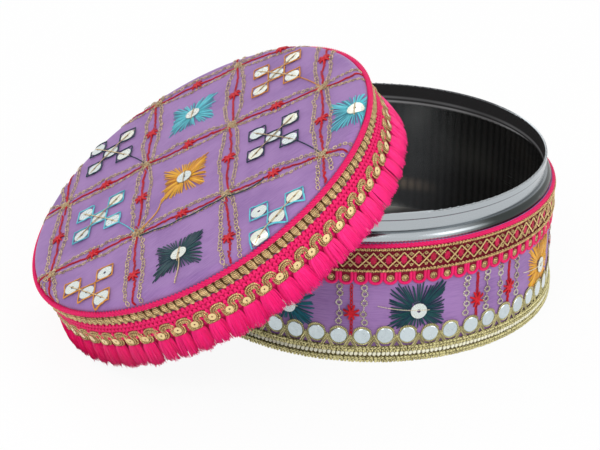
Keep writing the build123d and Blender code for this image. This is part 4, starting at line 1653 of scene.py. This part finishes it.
@dataclass
class LidBody:
    """Steel cap, foam and padded cloth of the lid."""

    shop: Workshop
    crown: Crown
    thickness: float = 0.9
    start: float = 0.4

    def build(self) -> None:
        """Dresses the cap and makes the foam and the cloth."""
        self.shop.dress("lid_shell", PlainSteel())
        cover = self.shop.span("lid_cover")
        pad = self.shop.span("lid_pad")
        cloth = self.shop.piece("lid_padded_cloth", self.dome(cover.low), Cloth(), ["lid_cover"], "lid_cloth")
        foam = self.shop.piece("lid_foam", self.foam(pad), Foam(), ["lid_pad"], "lid_foam")

    def surface(self, bottom: float, drop: float, spokes: int, rows: int) -> Array:
        """Grid of points over the dome, from its middle to its hem, as row by spoke by three.

        Beyond the flat part come a round edge of eight rows and three rows straight down.
        """
        angle = turns(spokes)
        bend = np.linspace(0, np.pi / 2, 8)
        radius = self.crown.edge_radius - drop
        shoulder = self.crown.edge_height - self.crown.edge_radius
        edge_reach = self.crown.flat + radius * np.sin(bend)
        fall = np.concatenate((shoulder + radius * np.cos(bend), np.linspace(shoulder, bottom, 4)[1:]))
        inner = np.linspace(self.start, self.crown.flat, rows)[:-1]
        radii = np.concatenate((inner, edge_reach, [self.crown.side - drop] * 3))
        x = radii[:, None] * np.cos(angle)
        y = radii[:, None] * np.sin(angle)
        top = self.crown.height(x[:rows], y[:rows]) - drop
        height = np.broadcast_to(np.concatenate((np.zeros(rows - 1), fall))[:, None], x.shape).copy()
        height[: rows - 1] = top[: rows - 1]
        edge = top[rows - 1] - (self.crown.edge_height - drop)
        fade = np.linspace(1, 0, 8) ** 1.5
        height[rows - 1 : rows + 7] += fade[:, None] * edge
        return traced(x, y, height)

    def closed(self, grid: Array, grain: Array) -> Shape:
        """Surface over a grid of rings that is closed at both ends, in the part's frame."""
        shape = netted(grid, grain, False)
        faces = np.concatenate((shape.faces, end_caps(*grid.shape[:2], True)))
        return Shape(self.shop.lid.outward(shape.points), faces, shape.grain)

    def dome(self, bottom: float) -> Shape:
        """Closed thin shell: the outer dome and, inside it, the same dome a cloth's thickness lower."""
        inner = self.surface(bottom, self.thickness, 300, 64)[::-1]
        grid = np.concatenate((self.surface(bottom, 0.0, 300, 64), inner))
        reach = np.hypot(grid[..., 0], grid[..., 1])
        stretch = np.maximum(self.crown.edge_height - grid[..., 2], 0) * (reach > self.crown.flat)
        return self.closed(grid, raised(grid * (1 + stretch / np.maximum(reach, 1))[..., None], 0.0))

    def foam(self, pad: Span) -> Shape:
        """Closed crowned pad under the cloth, with a flat bottom."""
        top = self.surface(pad.low, self.thickness + 0.1, 160, 24)
        bottom = raised(self.start * circle(turns(160)), pad.low)[None]
        grid = np.concatenate((top, bottom))
        return self.closed(grid, grid)


@dataclass
class LidTrim:
    """Pink piping, gathered gold puffs, knitted band and scrolling gold cords round the lid's side."""

    shop: Workshop
    puff_count: int = 144
    scroll_count: int = 66
    scroll_turn: float = 2.18
    knit_count: int = 254
    rng: Random = seeded(53)

    def build(self) -> None:
        """Builds the trim from the top down."""
        self.piping()
        self.puffs()
        self.band()
        self.scrolls()

    def piping(self) -> None:
        """Pink piping along the lid's edge."""
        cord = self.shop.span("lid_edge_cord")
        radius = cord.tall / 2
        side = Side(self.shop.lid, (cord.inner + cord.outer) / 2)
        shape = braided_ring(side, cord.middle, radius, 2.1, 2600, 12).on(side)
        self.shop.piece("lid_pink_piping", shape, PINK_YARN, ["lid_edge_cord"], "lid_pink_cord")

    def puffs(self) -> None:
        """A row of gathered gold puffs, each of fat pleats drawn together at the top, with a tab below."""
        puffs, side = self.shop.ring("lid_gold_puffs")
        rise = puffs.thick
        pitch = side.length / self.puff_count
        x = np.arange(self.puff_count) * pitch
        height = puffs.tall
        share = vec(0.0, 0.12, 0.32, 0.55, 0.78, 0.93, 1.0)
        bulge = vec(0.0, 0.4, 0.8, 0.9, 0.7, 0.3, -0.1) * rise
        made = []
        for place in (-0.8, 0.0, 0.8):
            spread = place * pitch * 0.3 * (0.6 + 0.4 * np.sin(np.pi * share))
            along = x[:, None] + spread + 0.9 * (share - 0.5) + self.rng.normal(0, 0.1, (self.puff_count, 1))
            out = bulge * (1 - 0.25 * abs(place)) * self.rng.uniform(0.8, 1.05, (self.puff_count, 1)) - 0.2
            lines = traced(along, puffs.high - 0.2 - share * height * 0.78, out)
            width = vec(0.36, 0.64, 0.82, 0.84, 0.77, 0.56, 0.3)
            made.append(tubes(lines, width, tone=self.rng.uniform(0, 0.8, self.puff_count)))
        tabs = traced(x + 0.9, puffs.low + height * 0.15, 0.0)
        tone = self.rng.uniform(0, 0.6, self.puff_count)
        made.append(pillows(tabs, pitch * 0.3, height * 0.17, rise * 0.6, -0.3, 8, tone, 0.9))
        shape = Shape.join(made).on(side)
        finish = MetalThread(Tint.PALE_GOLD, Tint.DARK_GOLD, winding=0.8, metal=0.55)
        self.shop.piece("lid_gathered_puffs", shape, finish, ["lid_gold_puffs"], "gold_gather")
        ground = band(side, replace(puffs, low=puffs.low + 0.6), 0.3, 360, 3)
        self.shop.piece("lid_puff_ground", ground.on(side), Yarn(Tint.DARK_GOLD, Tint.DARK_OLIVE, gloss=0.6), [],
                        "gold_gather")

    def band(self) -> None:
        """Knitted pink band: a ground with rows of slanted stitches that meet in points."""
        knit, side = self.shop.ring("lid_pink_band")
        thick = knit.thick
        ground = band(side, knit, thick * 0.7, 360, 4)
        count = self.knit_count
        x = np.arange(count) * side.length / count
        rows = []
        for row in range(4):
            top = knit.high + 0.4 - row * 2.7
            for way in (-1, 1):
                lines = traced(
                    x[:, None] + way * vec(1.15, 0.95, 0.5, 0.1),
                    top + vec(0.0, -0.9, -2.0, -3.0),
                    thick * 0.7 + vec(0.1, 0.65, 0.6, 0.0),
                )
                width = vec(0.4, 0.66, 0.62, 0.35)
                rows.append(tubes(lines, width, width * 0.8, tone=self.rng.uniform(0, 0.6, count)))
        shape = self.shop.clear_of_wall(Shape.join((ground, *rows)).on(side), 0.3)
        finish = Yarn(Tint.HOT_PINK, Tint.DEEP_PINK, fibre=0.9)
        self.shop.piece("lid_knitted_band", shape, finish, ["lid_pink_band"], "pink_knit")

    def scrolls(self) -> None:
        """Three gold cords side by side in a running scroll on a dark braid, with a spangle in each lower bend.

        The scroll's middle line is along = pitch times t plus a sine of two turns to a period, and up = the
        half height times the cosine of one turn.
        """
        braid, side = self.shop.ring("lid_scroll_braid")
        pitch = side.length / self.scroll_count
        steps = 26
        t = np.arange(self.scroll_count * steps) / steps
        cord = 0.5
        gap = 1.14
        half = braid.tall / 2 - gap - cord
        x = side.along(self.scroll_turn) + pitch * t + 0.95 * np.sin(2 * TURN * t)
        y = braid.middle + half * np.cos(TURN * t)
        middle = traced(x, y, 0.0)
        across = np.cross(OUT, tangents(middle, True, side.length))
        lines = np.stack([middle + across * gap * step for step in (-1, 0, 1)])
        lines[..., 2] = 0.8 + 0.35 * np.cos(2 * TURN * t + 0.6)
        lines[1, :, 2] += 0.3
        under = raised(middle[None], 0.35)
        cords = tubes(lines, cord, closed=True, period=side.length, tone=vec(0.1, 0.5, 0.2))
        braided = tubes(under, gap + cord + 0.25, 0.3, sides=8, closed=True, period=side.length, tone=0.6)
        for part, name, finish, nodes in (
            (cords, "lid_scroll_cords", MetalThread(Tint.GOLD, Tint.DARK_GOLD, gloss=0.2), ["lid_scroll_braid"]),
            (braided, "lid_scroll_ground", Yarn(Tint.DARK_GOLD, Tint.DARK_RED, gloss=0.6), []),
        ):
            self.shop.piece(name, self.shop.clear_of_wall(part.on(side), 0.3), finish, nodes, "gold_scroll")
        along = side.along(self.scroll_turn) + pitch * (np.arange(self.scroll_count) + 0.5)
        along = along + self.rng.normal(0, 0.25, self.scroll_count)
        up = braid.middle - half * 0.28 + self.rng.normal(0, 0.3, self.scroll_count)
        centres = np.stack((along, up), axis=1)
        discs = spangles(centres, 2.1, 0.3, 1.5, self.rng).on(side)
        finish = Spangle(Tint.PALE_GOLD, Tint.GOLD, 0.25)
        self.shop.piece("lid_gold_spangles", discs, finish, ["lid_scroll_discs"], "gold_spangle")


@dataclass
class Fringe:
    """Silky pink thread fringe under the lid's trim, in one clump to each scroll."""

    shop: Workshop
    clumps: int = 66
    threads: int = 84
    turn: float = 4.9
    half_thread: float = 0.34
    rng: Random = seeded(67)

    def build(self) -> None:
        """Builds the heading, a core for each clump and all the threads, as thread by step by three."""
        fringe, side = self.shop.ring("lid_fringe")
        pitch = side.length / self.clumps
        thick = fringe.thick
        clumps = np.arange(self.clumps)
        sway = self.rng.normal(0.5, 0.8, self.clumps)
        reach = fringe.tall + self.rng.normal(0.0, 0.5, self.clumps)
        base = side.along(self.turn) + clumps * pitch
        edges = replace(fringe, low=fringe.high - 4.6, high=fringe.high + 1.0)
        heading = band(side, edges, 0.5, 360, 3)
        share = vec(0.1, 0.4, 0.65, 0.86)
        core = traced(
            base[:, None] + sway[:, None] * share**1.5,
            fringe.high + 1.0 - reach[:, None] * share,
            0.5 + (thick - 2.4) * share * (1.6 - 0.6 * share),
        )
        width = vec(0.3, 0.44, 0.47, 0.42) * pitch
        # The core stands for the threads inside each clump and takes the dark tone: painted shade among the threads.
        ground = Shape.join((heading, tubes(core, width, 0.4, sides=8, tone=0.9))).on(side)
        count = self.clumps * self.threads
        clump = np.repeat(clumps, self.threads)
        spread = self.rng.uniform(-0.5, 0.5, count)
        depth = self.rng.uniform(0.0, 1.0, count)
        share = vec(0.0, 0.14, 0.42, 0.74, 1.0)
        length = reach[clump] + 0.9 + self.rng.normal(0.1, 0.6, count) - 1.2 * np.abs(spread)
        fan = spread[:, None] * pitch * vec(0.72, 0.9, 1.0, 1.03, 1.06)
        along = base[clump][:, None] + fan + sway[clump][:, None] * share**1.5
        along = along + self.rng.normal(0, 0.35, (count, 1)) * share**2
        up = fringe.high + 1.2 - length[:, None] * share
        round_over = np.sqrt(np.maximum(1 - (2 * spread) ** 2, 0))
        lift = 0.7 + depth * 0.6 + round_over * 1.3
        out = lift[:, None] + (thick - 2.6) * (share * (1.6 - 0.6 * share))
        lines = traced(along, up, out + self.rng.normal(0, 0.22, (count, 1)) * share)
        width = self.half_thread * vec(0.9, 1.0, 1.0, 0.85, 0.4)
        # Threads farther out and at the middle of each clump lighter, those nearer the cloth and at the clump's sides
        # darker: painted highlight and shade; the rest is random tone.
        tone = np.clip(0.85 - depth * 0.2 - round_over * 0.6 + self.rng.uniform(-0.3, 0.45, count), 0, 1)
        shape = tubes(lines, width, width * 0.7, sides=3, tone=tone).on(side)
        for part, name, finish, nodes in (
            (ground, "lid_fringe_heading", Yarn(Tint.DEEP_PINK, Tint.DARK_RED, gloss=0.7), []),
            (shape, "lid_thread_fringe", Yarn(Tint.SILK_PINK, Tint.DEEP_PINK, gloss=0.36, fibre=40.0), ["lid_fringe"]),
        ):
            part = self.shop.clear_of_wall(part, 0.4)
            part.points[:, 2] = np.maximum(part.points[:, 2], LEAST_HEIGHT)
            self.shop.piece(name, part, finish, nodes, "pink_fringe", 80.0)


@dataclass
class LidEmbroidery:
    """Grid of stitched lines on the lid's top, with a sunburst or a cross of spangles in each cell."""

    shop: Workshop
    crown: Crown
    lattice: Lattice
    bow: float = 5.0
    ring_pitch: float = 2.55
    petal_reach: float = 13.6
    petal_half: float = 4.75
    star: tuple[float, float, float] = (27.5, 28.0, 0.9)
    rng: Random = seeded(79)

    def build(self) -> None:
        """Builds the lines, the chains, the motifs and the spangles."""
        self.red()
        self.chains()
        self.stars()
        self.petals()
        self.spangle()

    def kept(self, points: Array, margin: float = 0.0) -> Array:
        """Which places lie inside the round edge, less a margin."""
        return np.hypot(points[..., 0], points[..., 1]) < self.crown.rim - margin

    def red(self) -> None:
        """Red chain stitch along the grid, with a star knot at the middle of each edge."""
        lines, knots = [], []
        for start, end in self.lattice.edges():
            seam = Seam(start, end, 2.3)
            wander = 0.75 * np.sin(seam.share * 9 + self.rng.uniform(0, 6)) + self.rng.normal(0, 0.24, seam.count)
            place = seam.places(wander)
            keep = self.kept(place)
            turn = seam.heading + self.rng.normal(0, 0.22, len(place))
            lines.append(rings(place[keep], 1.45, 0.28, squash=0.24, turn=turn[keep], segments=8, lift=0.34,
                               tone=self.rng.uniform(0, 0.7, keep.sum()), tilt=0.12))
            middle = (start + end) / 2
            if self.kept(middle, 2.0):
                knots.append(moved(star_knot(4.0, 0.72, self.rng), *middle))
        finish = Yarn(Tint.RED, Tint.CRIMSON)
        stitches = Shape.join(lines).on(self.crown)
        self.shop.piece("lid_red_chain_stitch", stitches, finish, ["lid_red_lines"], "lid_red_thread")
        stars = Shape.join(knots).on(self.crown)
        self.shop.piece("lid_red_star_knots", stars, finish, ["lid_red_knots"], "lid_red_knot")

    def chains(self) -> None:
        """Chains of small metal-thread rings that bow out on both sides of each grid edge."""
        places, turns, tones = [], [], []
        for start, end in self.lattice.edges():
            seam = Seam(start, end, self.ring_pitch)
            for way in (-1, 1):
                bow = self.bow * np.sin(np.pi * seam.share) ** 0.42 * self.rng.uniform(0.88, 1.08)
                bow = bow + 0.35 * np.sin(seam.share * 15 + self.rng.uniform(0, 6))
                bow = bow + self.rng.normal(0, 0.3, seam.count)
                place = seam.places(way * bow)
                keep = self.kept(place)
                places.append(place[keep])
                turns.append(np.full(keep.sum(), seam.heading))
                # Every other ring lighter and the rest darker: painted highlight and shade along the chain.
                tones.append((np.arange(seam.count) % 2)[keep])
        place = np.concatenate(places)
        turn = np.concatenate(turns) + self.rng.normal(0, 0.35, len(place))
        tone = np.concatenate(tones) * 0.9 + self.rng.uniform(-0.3, 0.3, len(place))
        radius = self.rng.uniform(0.85, 1.25, len(place))
        shape = rings(place, radius, 0.24, squash=0.85, turn=turn, segments=9, lift=0.36, tone=tone, tilt=0.16)
        finish = MetalThread(Tint.RING_THREAD, Tint.RING_SHADE, gloss=0.2, metal=0.3)
        self.shop.piece("lid_thread_rings", shape.on(self.crown), finish, ["lid_ring_chains"], "lid_chain_thread")
        knots = []
        for cell in self.lattice.crossings():
            place = self.lattice.point(*cell)
            if self.kept(place, 1.0):
                around = place + self.rng.normal(0, 1.2, (8, 2))
                tone = self.rng.uniform(0, 1, 8)
                knots.append(rings(around, 1.1, 0.26, segments=8, lift=0.8, tone=tone, tilt=0.3))
        knots += self.loose_ends()["metal"]
        shape = Shape.join(knots).on(self.crown)
        self.shop.piece("lid_crossing_knots", shape, KNOT_THREAD, ["lid_gold_knots"], "lid_gold_knot")

    def stars(self) -> None:
        """Sunbursts of dense straight stitches in three colours."""
        colours = (("cyan", Tint.CYAN, Tint.CYAN_SHADE), ("yellow", Tint.YELLOW, Tint.AMBER),
                   ("teal", Tint.TEAL, Tint.NAVY))
        for index, (word, tint, dark) in enumerate(colours):
            made = []
            for middle in self.star_places(index):
                shape = sunburst(star_corners(*self.star), 62, (0.2, 0.3), 0.42, self.rng)
                shape = moved(shape, *middle, degrees=self.lattice.turn)
                made.append(trimmed(shape, self.crown.rim))
            made += self.loose_ends().get(word, [])
            shape = Shape.join(made).on(self.crown)
            finish = Yarn(tint, dark, gloss=0.3, sheen=0.0)
            self.shop.piece(f"lid_{word}_sunbursts", shape, finish, [f"lid_{word}_stars"], f"lid_{word}_thread")

    def loose_ends(self) -> dict[str, list[Shape]]:
        """Loose threads by colour: to the crossing left of the lowest star, beside the chain there, to the edge."""
        left, right = self.lattice.point(-1, -1), self.lattice.point(0, -1)
        low, high = self.lattice.point(-0.5, -1.5), self.lattice.point(-0.5, -0.5)
        toward = (low - high) / np.hypot(*(low - high))
        share = np.linspace(0.04, 1.0, 25)[:, None]
        bulge = np.sin(np.pi * share)
        beside = left + share * (right - left) + (self.bow * bulge**0.42 + 0.7 + 0.5 * np.sin(share * 22)) * toward
        past = right + share * (right - left) * 0.4 + (self.bow * bulge**0.42 + 0.7) * toward
        down = low * (1 + share * (97.0 / np.hypot(*low) - 1)) + bulge * (1.2, -0.4)
        corner = self.lattice.point(-0.75, -0.75)
        gold = corner + share * (left - corner) + bulge * (2.6, -1.2)
        made = {}
        for word, lines, radius in (("teal", (beside, past), 0.3), ("yellow", (gold,), 0.32), ("metal", (down,), 0.34)):
            made[word] = [tubes(raised(np.array(lines), 0.75), radius, sides=5, tone=0.5)]
        return made

    def crosses(self, index: int) -> list[tuple[Array, Array]]:
        """The crosses of one colour: the middles of the four petals, and the cross's own."""
        turn = np.radians(self.lattice.turn + 45 + 90 * np.arange(4))
        arms = self.petal_reach * circle(turn)
        return [(middle + arms, middle) for middle in self.lattice.middles(0, index, 3)]

    def petals(self) -> None:
        """Square thread outlines round the outer spangles of each cross, two threads on the middle one."""
        colours = (("orange", Tint.ORANGE, Tint.AMBER), ("navy", Tint.NAVY, Tint.TEAL),
                   ("cyan", Tint.CYAN, Tint.CYAN_SHADE))
        corner = np.array(((1, 1), (-1, 1), (-1, -1), (1, -1), (1, 1)), float)
        square = outline(corner, np.linspace(0, 4, 24, endpoint=False))
        for index, (word, tint, dark) in enumerate(colours):
            lines = []
            for group, middle in self.crosses(index):
                for place in np.concatenate((group, middle[None])):
                    if not self.kept(place, 1.0):
                        continue
                    half = self.petal_half * self.rng.uniform(0.96, 1.04)
                    flat = place + half * square @ self.lattice.axes + self.rng.normal(0, 0.13, (24, 2))
                    lines.append(raised(flat, 0.95 + self.rng.normal(0, 0.05, 24)))
            tone = self.rng.uniform(0, 0.7, len(lines))
            shape = tubes(np.array(lines), 0.42, 0.34, sides=5, closed=True, tone=tone)
            shape = Shape.join([shape, *self.travel(index)]).on(self.crown)
            finish = Yarn(tint, dark, gloss=0.3, sheen=0.0)
            self.shop.piece(f"lid_{word}_petal_threads", shape, finish, [f"lid_{word}_petals"], f"lid_{word}_petal")

    def spangle(self) -> None:
        """A spangle in each star, cross and petal, with threads that run from one to the next."""
        starts, ends, places = [], [], []
        for index in range(3):
            for group, middle in self.crosses(index):
                places += [middle, *group]
                starts += [group[0], group[1]]
                ends += [group[2], group[3]]
        turn = math.radians(self.lattice.turn + 85)
        arm = 5.4 * circle(turn)
        for index in range(4):
            for middle in self.star_places(index):
                places.append(middle)
                starts.append(middle - arm)
                ends.append(middle + arm)
        places = np.array(places)
        places = places[self.kept(places, 2.2)]
        shape = spangles(places, 4.6, 0.5, 0.8, self.rng).on(self.crown)
        self.shop.piece("lid_spangles", shape, SPANGLE_SHINE, ["lid_sequins"], "lid_sequin")
        starts, ends = np.array(starts), np.array(ends)
        away = unit(ends - starts)
        long = np.linalg.norm(ends - starts, axis=1) > 12
        starts, ends = starts - away * 5.2 * long[:, None], ends + away * 5.2 * long[:, None]
        keep = self.kept(starts, 1.0) & self.kept(ends, 1.0)
        share = np.linspace(0, 1, 17)
        lines = raised(between(starts[keep], ends[keep], share), 0.35 + 0.95 * np.sin(np.pi * share) ** 0.3)
        threads = tubes(lines, 0.26, sides=5, tone=self.rng.uniform(0, 1, keep.sum())).on(self.crown)
        self.shop.piece("lid_spangle_threads", threads, KNOT_THREAD, [], "lid_chain_thread")

    def travel(self, index: int) -> list[Shape]:
        """A thread of each cross that runs on to the crossing beside it."""
        lines = []
        for group, middle in self.crosses(index):
            start = group[3] + (group[3] - middle) * 0.42
            beyond = middle + (group[3] - middle) * 2.2
            end = self.lattice.point(*np.round(self.lattice.cells_of(*beyond)))
            share = np.linspace(0, 1, 9)
            flat = between(start, end, share)
            line = traced(flat[:, 0], flat[:, 1] + 2.0 * np.sin(np.pi * share), 0.4)
            if self.kept(line, 1.0).all():
                lines.append(line)
        return [tubes(np.array(lines), 0.3, sides=5, tone=0.4)] if lines else []

    def star_places(self, index: int) -> list[Array]:
        """Middles of the sunbursts of one colour, those just past the edge drawn in to it."""
        places = []
        for middle in self.lattice.middles(-1, index, 4):
            away = float(np.hypot(*middle))
            places.append(middle * (min(1.0, 95.5 / away) if away < 107 else 1.0))
        return places


def trimmed(shape: Shape, reach: float) -> Shape:
    """A flat drawing without the stitches beyond the round edge, the rest drawn in to the edge."""
    points_of_stitch = 24
    blocks = shape.points.reshape(-1, points_of_stitch, 3)
    away = np.hypot(blocks[..., 0], blocks[..., 1])
    keep = away.min(axis=1) < reach - 1.0
    faces = shape.faces[keep[shape.faces[:, 0] // points_of_stitch]]
    shift = (np.cumsum(keep) - 1 - np.arange(len(keep))) * points_of_stitch
    faces = np.where(faces < 0, -1, faces + shift[faces[:, 0] // points_of_stitch][:, None])
    scale = np.minimum(1, reach / away)
    points = traced(blocks[..., 0] * scale, blocks[..., 1] * scale, blocks[..., 2])
    grain = shape.grain.reshape(-1, points_of_stitch, 3)[keep]
    return Shape(points[keep].reshape(-1, 3), faces, grain.reshape(-1, 3))


def main() -> None:
    """Builds the studio, the box and the lid in order."""
    logging.basicConfig(level=logging.INFO, format="%(message)s")
    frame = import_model()
    bpy.context.scene.view_settings.view_transform = "Standard"
    shop = Workshop(frame)
    lattice = Lattice()
    crown = Crown(shop.lid, lattice, shop.span("lid_cover").outer)
    Studio().build()
    for part in (BoxBody(shop), UpperTrim(shop), MirrorRow(shop), BaseBraid(shop), BoxEmbroidery(shop),
                 LidBody(shop, crown), LidTrim(shop), Fringe(shop), LidEmbroidery(shop, crown, lattice)):
        part.build()


if __name__ == "__main__":
    main()
